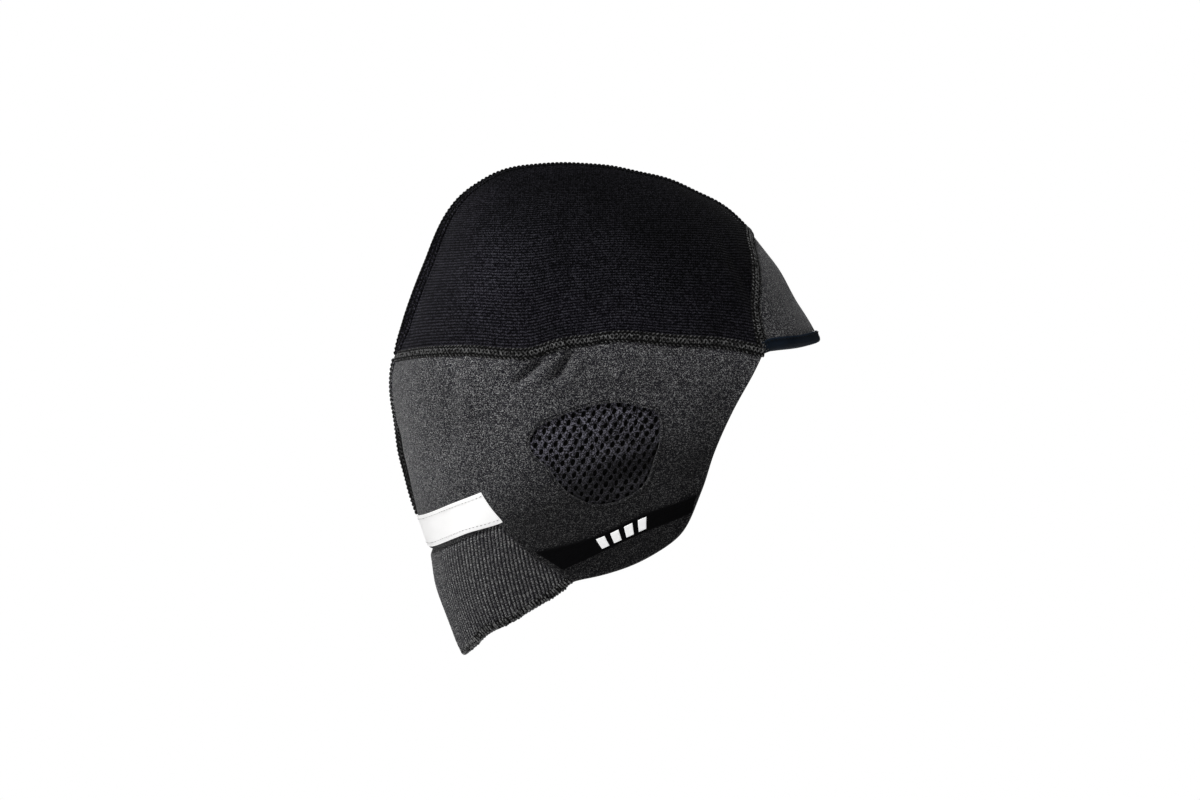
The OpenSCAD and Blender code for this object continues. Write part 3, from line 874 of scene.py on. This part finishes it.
def band_grid(start, end, inset, rows, steps, slant=0.0):
    """Grid on the flap band, between two shares of its length."""
    v = inset + (1 - 2 * inset) * np.linspace(0, 1, rows + 1)
    u = np.linspace(start, end, steps + 1)
    at = np.clip(u + slant * (v[:, None] - 0.5), 0, 1) * FINE
    low, high = (
        between(at, np.arange(FINE + 1), smooth(unfold(line), FINE))
        for line in (BAND_LOW, BAND_TOP)
    )
    return low + (high - low) * v[:, None, None]


def hole_stitching(name):
    """Turned edge and a row of stitches round the ear hole."""
    lane = Lane(Spots(ear_edge(np.arange(0, 360, 1.5)[::-1], 0.9)), closed=True)
    foot = HEATHER_THICK / 2
    cover = lane.band(oval(8, (0, foot - 0.3), 1.2, 0.42), 0.7)
    row = stitches(lane, pitch=1.9, share=0.8, aside=0, foot=foot + 0.06, arch=0.1, offset=0)
    return join(name, (cover, 0), (tubes(row, FINE_THREAD), 1))


def band_piece():
    """Flat elastic across the flap, with fine cords along it."""
    spots = Spots(band_grid(0, 1, 0, 12, 190))
    length = run_lengths(spots.at[6])
    wide = np.linalg.norm(spots.at[-1] - spots.at[0], axis=1)
    across = np.linspace(0, 1, 13)[:, None] * wide
    cloth = np.stack(np.broadcast_arrays(length, across), -1)
    cords = 0.09 * np.sin(cloth[..., 0] / 0.55 * math.pi)
    edge = 0.12 * (np.abs(np.linspace(-1, 1, 13)) > 0.8)[:, None]
    top = CLOTH_TOP + 0.62 + cords + edge
    return Sheet(spots, CLOTH_TOP - 0.25, top, cloth=cloth).mesh("flap_band_right_elastic")


def bar_marks(name):
    """Plain slanted bars, printed on the elastic."""
    built = []
    pitch = (MARK_END - MARK_START) / MARK_BARS
    for start in MARK_START + np.arange(MARK_BARS) * pitch:
        spots = Spots(band_grid(start, start + 0.6 * pitch, MARK_INSET, 10, 8, slant=0.035))
        built.append((Sheet(spots, CLOTH_TOP + 0.5, CLOTH_TOP + 0.86).skins(0), 0))
    return join(name, *built)


STRIP_EDGES = [
    even(to_centre(line, back, SHORT), 60)
    for line, back in ((STRIP_LOW, STRIP_LOW_BACK), (STRIP_TOP, STRIP_TOP_BACK))
]


def strip_piece():
    spots = Spots(fill_between(*STRIP_EDGES, np.linspace(0, 1, 21))).both_sides()
    sag = 0.12 * np.sin(np.arange(121) / 7.0)
    return Sheet(spots, CLOTH_TOP - 0.1, CLOTH_TOP + 0.5 + sag).mesh("reflective_strip_film")


def strip_stitching(name):
    low, high = STRIP_EDGES
    rows = [
        stitches(Lane(Spots(low + (high - low) * place).both_sides()),
                 pitch=2.4, share=0.72, aside=0, foot=CLOTH_TOP + 0.58, arch=0.14)
        for place in (0.1, 0.9)
    ]
    return join(name, (tubes(np.concatenate(rows), 0.17), 0))


def binding_piece(name):
    """Tape folded round the brow's lower edge, with its row of stitches."""
    lane = Lane(Spots(brow_edge_run(120)).both_sides())
    near, far = HEATHER_THICK / 2, HEATHER_THICK / 2 + 0.8
    profile = [
        (5, near - 0.3), (5.1, near + 0.25), (4.7, far - 0.1), (3.9, far + 0.02),
        (2.4, far - 0.05), (1, far + 0.08), (-0.2, far * 0.86), (-0.75, far * 0.5), (-0.9, 0),
        (-0.75, -far * 0.5), (-0.2, -far * 0.86), (1, -far - 0.05), (2.4, -far + 0.05),
        (3.9, -far), (4.7, -far + 0.1), (5.1, -near - 0.25), (5, -near + 0.3), (2, 0),
    ]

    def ripple(along, aside, above):
        wrinkle = 0.1 * np.sin(along / 2.1) * np.sin(along / 7.3 + 1)
        return aside + 0.12 * np.sin(along / 6.1) * (aside > 4), above + wrinkle * np.sign(above)

    cover = lane.band(profile, 0.7, ripple)
    row = stitches(lane, pitch=2.5, share=0.7, aside=3.9, foot=far + 0.06, arch=0.14)
    return join(name, (cover, 0), (tubes(row, FINE_THREAD), 1))


def hem_piece(name):
    """Coarse overlocked roll that ends the rib."""
    lane = Lane(Spots(nape_edge_run(140)).both_sides())
    random = np.random.default_rng(5)
    inset = 1.9
    profile = oval(12, (-inset, 0), 2.2, 1.35)

    def slim(along):
        return 1 - 0.82 * np.exp(-((along - lane.length / 2) / 15) ** 2)

    def middle(along):
        return -inset * slim(along) + 0.35 * np.sin(along / 4.9)

    def lumps(along, aside, above):
        thick = 1 + 0.13 * np.sin(along / 1.15) * np.sin(along / 3.7 + 1)
        thick = (thick + 0.07 * np.sin(along / 0.63)) * slim(along)
        return middle(along) + (aside + inset) * thick, above * thick + 0.3 * np.sin(along / 6.3)

    cover = lane.band(profile, 0.45, lumps)
    k = places(lane, 1.6)
    jitter = random.uniform(-1, 1, (4, len(k), 1))
    t = np.linspace(-0.78, 0.78, 13)
    s = k + 0.25 * jitter[0] + (0.9 + 0.5 * jitter[1]) * t
    reach_x, reach_up = 2.45 + 0.3 * jitter[2], 1.62 + 0.18 * jitter[3]
    aside = middle(s) + reach_x * slim(s) * np.cos(t * math.pi)
    above = reach_up * slim(s) * np.sin(t * math.pi) + 0.3 * np.sin(s / 6.3)
    loops = lane.place(s, aside, above)
    return join(name, (cover, 0), (tubes(loops, 0.42), 1))


# ------------------------------------------------------------------ ear mesh

CELL_WIDTH = 5.1
CELL_RISE = 3.3
CELL_TILT = 6.0
NET_SPAN = range(-12, 13)
NET_MARGIN = 2.4


def ear_net(name):
    """Spacer-mesh net with real holes: rounded bars round staggered oval cells."""
    rings = [(1.0, 0.0), (0.86, 0.16), (0.72, 0.05), (0.62, -0.2), (0.6, -0.6), (0.66, -0.95)]
    side = CELL_WIDTH / 2
    flat_half, point_half = CELL_RISE * 0.36, CELL_RISE * 0.64
    corner = np.array([
        (side, -flat_half), (side, flat_half), (0, point_half), (-side, flat_half),
        (-side, -flat_half), (0, -point_half), (side, -flat_half),
    ])
    steps = 4
    t = np.arange(steps)[:, None] / steps
    border = np.concatenate([a * (1 - t) + b * t for a, b in zip(corner, corner[1:])])
    angle = np.radians(heading(border))
    hole = np.stack([np.cos(angle) * 1.5, np.sin(angle) * 2.2], -1)
    hole[:, 0] += 0.25 * hole[:, 1]
    tilt = math.radians(CELL_TILT)
    spin = np.array([[math.cos(tilt), math.sin(tilt)], [-math.sin(tilt), math.cos(tilt)]])
    random = np.random.default_rng(11)
    points, faces, cloth, start = [], [], [], 0
    for j in NET_SPAN:
        for i in NET_SPAN:
            middle = np.array([(i + (j % 2) / 2) * CELL_WIDTH, j * CELL_RISE]) @ spin
            step = middle / CLOTH_SCALE
            if np.hypot(*step) > ear_radius(heading(step)) + NET_MARGIN / CLOTH_SCALE:
                continue
            ovals = hole * (1 + 0.12 * random.uniform(-1, 1, 2)) + random.uniform(-0.12, 0.12, 2)
            for share, lift in rings:
                ring = border
                if share < 1:
                    mix = ease((1 - share) / 0.28)
                    ring = border * (1 - mix) * share + ovals * share / 0.86 * mix
                place = middle + ring @ spin
                spots = Spots(ear_middle + place / CLOTH_SCALE)
                points.append(spots.lifted(-HEATHER_THICK / 2 + 0.12 + lift + np.zeros(len(ring))))
                cloth.append(place)
            faces.append(grid_faces(len(rings), len(border), wrap=True) + start)
            start += len(border) * len(rings)
    return put_mesh(name, *merged(points, faces, cloth))


def ear_back(name):
    """Close-knit back face of the spacer mesh, seen through its holes."""
    edge = ear_edge(np.arange(96) * 360 / 96, MESH_MARGIN)
    grid = ear_middle + (edge - ear_middle) * np.linspace(0.004, 1, 22)[:, None, None]
    top = -HEATHER_THICK / 2 - 0.85
    return Sheet(Spots(grid), top - 0.4, top, ring=True).mesh(name)


# ------------------------------------------------------------------ materials

class Shader:
    """A node material, with short ways to add and join its nodes."""

    def __init__(self, name, colour, roughness, **sockets):
        self.material = bpy.data.materials.new(name)
        self.material.use_nodes = True
        self.tree = self.material.node_tree
        self.bsdf = next(n for n in self.tree.nodes if n.type == "BSDF_PRINCIPLED")
        self.bsdf.inputs["Base Color"].default_value = (*colour, 1)
        self.bsdf.inputs["Roughness"].default_value = roughness
        for socket, value in sockets.items():
            self.bsdf.inputs[socket.replace("_", " ")].default_value = value
        self.at = self.node("TexCoord").outputs["Object"]

    def node(self, kind, sockets=(), **settings):
        """A node with its settings, and a value or a link for each of its sockets."""
        node = self.tree.nodes.new("ShaderNode" + kind)
        for key, value in settings.items():
            setattr(node, key, value)
        for key, value in sockets:
            self.set(node.inputs[key], value)
        return node

    def set(self, socket, value):
        if isinstance(value, bpy.types.NodeSocket):
            self.tree.links.new(value, socket)
        elif value is not None:
            socket.default_value = value

    def math(self, operation, *values):
        return self.node("Math", enumerate(values), operation=operation).outputs[0]

    def sum(self, *terms):
        """Values added up, each given with its share."""
        total = 0.0
        for value, share in terms:
            total = self.math("MULTIPLY_ADD", value, share, total)
        return total

    def cloth(self):
        """Cloth coordinates along and across, in millimetres."""
        uv = self.node("UVMap", uv_map="cloth").outputs[0]
        return self.node("SeparateXYZ", [(0, uv)]).outputs[:2]

    def wave(self, value, pitch, phase=0.0):
        return self.math("SINE", self.math("MULTIPLY_ADD", value, 2 * math.pi / pitch, phase))

    def weave(self, pitch):
        """Threads that cross at an even pitch."""
        return self.math("MULTIPLY", *(self.wave(value, pitch) for value in self.cloth()))

    def noise(self, scale, detail=2.0):
        sockets = [("Vector", self.at), ("Scale", scale), ("Detail", detail)]
        return self.node("TexNoise", sockets).outputs["Fac"]

    def flecks(self, scale):
        """A random level for every small cell, as for the mixed fibres of heather yarn."""
        cells = self.node("TexVoronoi", [("Vector", self.at), ("Scale", scale)])
        return self.node("SeparateColor", [(0, cells.outputs["Color"])]).outputs[0]

    def ramp(self, value, *stops):
        """Colour from a value, through stops of (place, level) or (place, level, tint)."""
        node = self.node("ValToRGB", [(0, value)])
        elements = node.color_ramp.elements
        while len(elements) < len(stops):
            elements.new(0.5)
        for element, (place, *tone) in zip(elements, stops):
            element.position = place
            element.color = (*grey(*tone), 1)
        return node.outputs[0]

    def fade(self, across, start, end, *tones):
        """Painted shade: a tone that changes evenly along a direction, between two distances in
        millimetres.
        """
        run = self.node("VectorMath", [(0, self.at), (1, across)], operation="DOT_PRODUCT")
        run, length = run.outputs["Value"], end - start
        share = self.math("MULTIPLY_ADD", run, 1 / MM / length, -start / length)
        return self.ramp(share, *((k / (len(tones) - 1), tone) for k, tone in enumerate(tones)))

    def times(self, colour, *others):
        """A colour multiplied by others."""
        for other in others:
            sockets = [(0, 1.0), (6, colour), (7, other)]
            colour = self.node("Mix", sockets, data_type="RGBA", blend_type="MULTIPLY").outputs[2]
        return colour

    def finish(self, colour, height, strength=0.6, depth=0.0003, roughness=None):
        """Colour, roughness and a bump from a height, with its strength and depth in metres."""
        self.set(self.bsdf.inputs["Base Color"], colour)
        self.set(self.bsdf.inputs["Roughness"], roughness)
        bump = self.node("Bump", [("Strength", strength), ("Distance", depth), ("Height", height)])
        self.set(self.bsdf.inputs["Normal"], bump.outputs[0])
        return self.material


def grey(level, tint=(1, 1, 1)):
    return tuple(level * t for t in tint)


COOL = (0.96, 0.93, 1.16)
INKY = (0.9, 0.85, 1.5)
WOOLLY = {"Specular_IOR_Level": 0.12, "Sheen_Weight": 0.15, "Sheen_Roughness": 0.45}
# Direction of the painted shade that darkens the side panels, down to the front of the flaps
LOW_FRONT = (0.35, 0, -0.9)


def jersey_material():
    s = Shader("crown_jersey", grey(0.012), 0.85, Specular_IOR_Level=0.06, Sheen_Weight=0.03,
               Sheen_Roughness=0.4)
    u, v = s.cloth()
    loops = s.wave(u, 1.15, s.math("MULTIPLY", s.wave(v, KNIT_ROW), 1.1))
    rows = s.wave(v, KNIT_ROW, math.pi / 2)
    speck = s.flecks(1900)
    level = s.sum((speck, 0.5), (loops, 0.05), (rows, 0.17), (s.flecks(2900), 0.4))
    base = s.ramp(level, (0.24, 0.0005, INKY), (0.52, 0.004, INKY), (0.78, 0.045, COOL))
    worn = s.ramp(s.noise(30, 3), (0.3, 0.75), (0.7, 1.3))
    # The fade is painted light and shade: the crown is lightened low at the back and darkened
    # towards its top and front
    colour = s.times(base, worn, s.fade((0.4, 0, 1), 15, 70, 1.25, 0.88, 0.45))
    return s.finish(colour, s.sum((loops, 0.35), (s.noise(1500), 1), (speck, 1)))


def heather_material(name, *painted_shade):
    """Heather knit, with painted shade: the direction, the two distances and the tones of its fade.
    """
    s = Shader(name, grey(0.05), 0.85, **WOOLLY)
    u, v = s.cloth()
    grain, rows = s.flecks(3900), s.wave(v, 1.25)
    level = s.sum((rows, 0.03), (grain, 0.5), (s.flecks(2500), 0.45))
    base = s.ramp(level, (0.17, 0.0015, INKY), (0.44, 0.015, INKY), (0.62, 0.068), (0.83, 0.5))
    worn = s.ramp(s.noise(22, 3), (0.3, 0.85), (0.7, 1.12))
    relief = s.math("MULTIPLY", rows, s.wave(u, 1.1))
    height = s.sum((relief, 0.25), (s.noise(2600, 1), 1), (grain, 1))
    return s.finish(s.times(base, worn, s.fade(*painted_shade)), height, 0.5)


def rib_material():
    s = Shader("rib_knit", grey(0.05), 0.85, **WOOLLY)
    u, v = s.cloth()
    fleck, wale = s.flecks(2100), s.wave(u, WALE_PITCH, math.pi / 2)
    slope = s.math("MULTIPLY", s.math("ABSOLUTE", s.wave(u, 2 * WALE_PITCH)), 2.4)
    loops = s.wave(v, 1.3, slope)
    level = s.sum((wale, 0.08), (s.flecks(3200), 0.4), (fleck, 0.4), (loops, 0.06))
    level = s.math("ADD", level, 0.08)
    base = s.ramp(level, (0.12, 0.004, INKY), (0.42, 0.03, COOL), (0.66, 0.11), (0.9, 0.46))
    # Painted shade in the grooves between the wales, darkest at their bottoms
    groove_shade = s.ramp(s.math("MULTIPLY_ADD", wale, 0.5, 0.5), (0, 0.1), (0.35, 0.95), (1, 1.25))
    height = s.sum((loops, 0.6), (s.noise(2600, 1), 1), (fleck, 1))
    return s.finish(s.times(base, groove_shade), height, 0.5)


def thread_material(name, low, high, gloss=0.6):
    s = Shader(name, grey(low), gloss, Specular_IOR_Level=0.1, Sheen_Weight=0.03)
    fibre = s.noise(2400)
    colour = s.ramp(s.sum((fibre, 0.3), (s.flecks(1300), 0.7)), (0.3, low), (0.8, high))
    return s.finish(colour, fibre, 0.5, 0.0002)


def net_material():
    s = Shader("ear_mesh_knit", grey(0.02), 0.7, Specular_IOR_Level=0.2, Sheen_Weight=0.1)
    strand = s.noise(1900)
    level = s.sum((strand, 0.3), (s.flecks(2100), 0.75))
    base = s.ramp(level, (0.3, 0.0005, COOL), (0.53, 0.007, INKY), (0.76, 0.24, COOL))
    # The fade is painted shade, darker down to the front of the flaps
    return s.finish(s.times(base, s.fade(LOW_FRONT, 34, 60, 0.86, 0.45, 0.15)), strand, 0.7)


def tape_material():
    s = Shader("brow_tape", (0.008, 0.013, 0.022), 0.5, Specular_IOR_Level=0.07)
    cloud = s.noise(60, 3)
    colour = s.ramp(cloud, (0.3, 1, (0.006, 0.011, 0.019)), (0.7, 1, (0.014, 0.022, 0.036)))
    rough = s.math("MULTIPLY_ADD", cloud, 0.25, 0.35)
    return s.finish(colour, s.sum((s.weave(0.8), 0.3), (cloud, 1)), 0.3, roughness=rough)


def elastic_material():
    s = Shader("elastic_band", grey(0.002), 0.7, Specular_IOR_Level=0.05)
    u, v = s.cloth()
    level = s.sum((s.noise(1800), 1), (s.wave(v, 1.1), 0.12), (s.wave(u, 0.9), 0.12))
    return s.finish(s.ramp(level, (0.25, 0.0006, COOL), (0.8, 0.004, COOL)), level, 0.5)


def print_material():
    # The emission is painted light: the print glows faintly to stay bright white
    s = Shader("band_print", grey(0.85), 0.5, Specular_IOR_Level=0.3,
               Emission_Color=(1, 1, 1, 1), Emission_Strength=0.4)
    crack = s.noise(900, 3)
    return s.finish(s.ramp(crack, (0.25, 0.6), (0.45, 0.9)), crack, 0.3, 0.0002)


def film_material():
    # The emission is painted light: a glow that stands in for the film's bright reflection of the
    # light
    s = Shader("reflective_film", grey(0.9), 0.4, Specular_IOR_Level=0.4,
               Emission_Color=(1, 0.985, 0.97, 1), Emission_Strength=0.3)
    cloud = s.noise(120, 3)
    colour = s.ramp(cloud, (0.2, 0.82), (0.6, 0.92))
    return s.finish(colour, s.sum((s.weave(0.5), 1), (cloud, 1)), 0.15, 0.0001)


# ------------------------------------------------------------------ the cap

jersey = jersey_material()
# The fades of these knits are painted shade: the side panels darken down to the front of the flaps,
# the brow towards its front and the back seam's cover downwards
heather = heather_material("heather_knit", LOW_FRONT, 34, 64, 1.0, 0.66, 0.28)
brow_heather = heather_material("brow_heather_knit", (1, 0, 0), 78, 112, 0.9, 0.72)
back_cover = heather_material("back_seam_cover", (0, 0, -1), 34, 44, 1.0, 0.22)
rib = rib_material()
cover_knit = thread_material("seam_cover", 0.0006, 0.008, 0.9)
needle_thread = thread_material("seam_needle_thread", 0.0008, 0.005)
looper_thread = thread_material("seam_looper_thread", 0.006, 0.19)
threads = [cover_knit, needle_thread, looper_thread]
hem_core = thread_material("rib_hem_core", 0.0008, 0.012, 0.9)
hem_thread = thread_material("rib_hem_thread", 0.001, 0.22, 0.8)
net = net_material()
net_back = thread_material("ear_mesh_back_knit", 0.002, 0.008, 0.9)
tape = tape_material()
elastic = elastic_material()
white_print = print_material()
film = film_material()
strip_thread = thread_material("strip_thread", 0.35, 0.7)

crown = both_hands(
    crown_cloth().mesh("crown_cloth_right"), [jersey], "crown_panel_right")
brow = finished(brow_cloth().mesh("brow_cloth"), [brow_heather], "brow_panel")
sides = both_hands(side_cloth().mesh("side_cloth_right", roll=5), [heather],
                   "side_panel_right")
nape = finished(nape_cloth().mesh("nape_rib_cloth"), [rib], "nape_rib")

crown_seam_lane = Lane(Spots(crown_seam_run(160)))
crown_seams = both_hands(flatlock("crown_seam_stitching_right", crown_seam_lane),
                         threads, "crown_seam_right")
brow_seam_lane = Lane(Spots(brow_seam_run(90)).both_sides())
brow_seam = finished(flatlock("brow_seam_stitching", brow_seam_lane),
                     threads, "brow_seam")
crown_lane = CentreLane(BROW_SEAM_TOP, CROWN_SEAM_BACK, 220, margin=0.7)
finished(flatlock("crown_centre_stitching", crown_lane, CENTRE_SEAM_WIDTH, JERSEY_THICK / 2 + 0.1),
         [jersey, needle_thread, cover_knit], "crown_centre_seam")
back_lane = CentreLane(CROWN_SEAM_BACK, STRIP_TOP_BACK, 90, margin=0.4)
finished(flatlock("back_seam_stitching", back_lane, CENTRE_SEAM_WIDTH),
         [back_cover, needle_thread, cover_knit], "back_seam")

rib_seam = even(smooth(unfold(RIB_SEAM), SHORT), 60)
both_hands(overlock("rib_seam_overlock_right", Spots(rib_seam)),
           threads, "rib_seam_right")
rib_top = even(to_centre(RIB_TOP, RIB_TOP_BACK, SHORT), 60)
finished(overlock("nape_seam_overlock", Spots(rib_top[3:]).both_sides()),
         threads, "nape_seam")

ear_meshes = [
    finished(ear_net("ear_mesh_net_right"), [net], "ear_mesh_right"),
    finished(ear_back("ear_mesh_back_right"), [net_back], "ear_mesh_right"),
]
for piece in ear_meshes:
    left_of(piece, "ear_mesh_right")
ear_seams = both_hands(hole_stitching("ear_hole_stitching_right"),
                       [heather, needle_thread], "mesh_seam_right")

both_hands(band_piece(), [elastic], "flap_band_right")
both_hands(bar_marks("band_mark_right_bars"), [white_print], "band_mark_right")

finished(strip_piece(), [film], "reflective_strip")
finished(strip_stitching("reflective_strip_stitches"), [strip_thread],
         "reflective_strip")
binding = finished(binding_piece("brow_binding_tape"), [tape, needle_thread],
                   "brow_binding")
hem = finished(hem_piece("nape_hem_overlock"), [hem_core, hem_thread], "nape_hem")


# ------------------------------------------------------------------ camera, light and floor

scene = bpy.context.scene
scene.view_settings.view_transform = "Standard"

camera = show("camera", bpy.data.cameras.new("camera"))
camera.data.lens = 200
camera.data.sensor_width = 36
camera.location = (0.004, -3.3333, -0.025)
camera.rotation_euler = (math.radians(90), 0, 0)
camera.data.clip_end = 60
scene.camera = camera


LIGHT_SIZE = 0.9
AMBIENT = 0.04
FLOOR_LEVEL, FLOOR_RADIUS = -0.3, 1.2
# Name, place and watts of each round soft light; all of them point at the origin
LIGHTS = [
    ("key", (-0.82, -1.17, 2.05), 51), ("side", (-2.48, -0.22, -0.17), 14),
    ("rim", (2.34, 0.85, -0.17), 4.5), ("back", (0, 2.5, 0.4), 22),
]
for name, at, power in LIGHTS:
    lamp = show(name, bpy.data.lights.new(name, "AREA"))
    lamp.data.shape = "DISK"
    lamp.data.size = LIGHT_SIZE
    lamp.data.energy = power
    lamp.location = at
    lamp.rotation_euler = (-Vector(at)).to_track_quat("-Z", "Y").to_euler()

# The camera sees a white world, which lights the cap only faintly
world = bpy.data.worlds.new("studio")
scene.world = world
world.use_nodes = True
tree = world.node_tree
tree.nodes.clear()
output = tree.nodes.new("ShaderNodeOutputWorld")
path, choose = tree.nodes.new("ShaderNodeLightPath"), tree.nodes.new("ShaderNodeMixShader")
tree.links.new(path.outputs["Is Camera Ray"], choose.inputs[0])
for socket, strength in ((1, AMBIENT), (2, 1.0)):
    background = tree.nodes.new("ShaderNodeBackground")
    background.inputs["Color"].default_value = (1, 1, 1, 1)
    background.inputs["Strength"].default_value = strength
    tree.links.new(background.outputs[0], choose.inputs[socket])
tree.links.new(choose.outputs[0], output.inputs[0])

floor_mesh = bpy.data.meshes.new("floor")
work = bmesh.new()
bmesh.ops.create_circle(work, cap_ends=True, segments=96, radius=FLOOR_RADIUS)
work.to_mesh(floor_mesh)
work.free()
floor = show("floor", floor_mesh)
floor.location = (0, 0, FLOOR_LEVEL)
paper = Shader("floor_paper", grey(0.9), 0.9)
paper.set(paper.bsdf.inputs["Base Color"], paper.ramp(paper.noise(40, 4), (0.3, 0.88), (0.7, 0.92)))
floor_mesh.materials.append(paper.material)
floor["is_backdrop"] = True

model_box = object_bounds()
{name: [list(corner) for corner in box] for name, box in (("cad", cad_box), ("visual", model_box))}
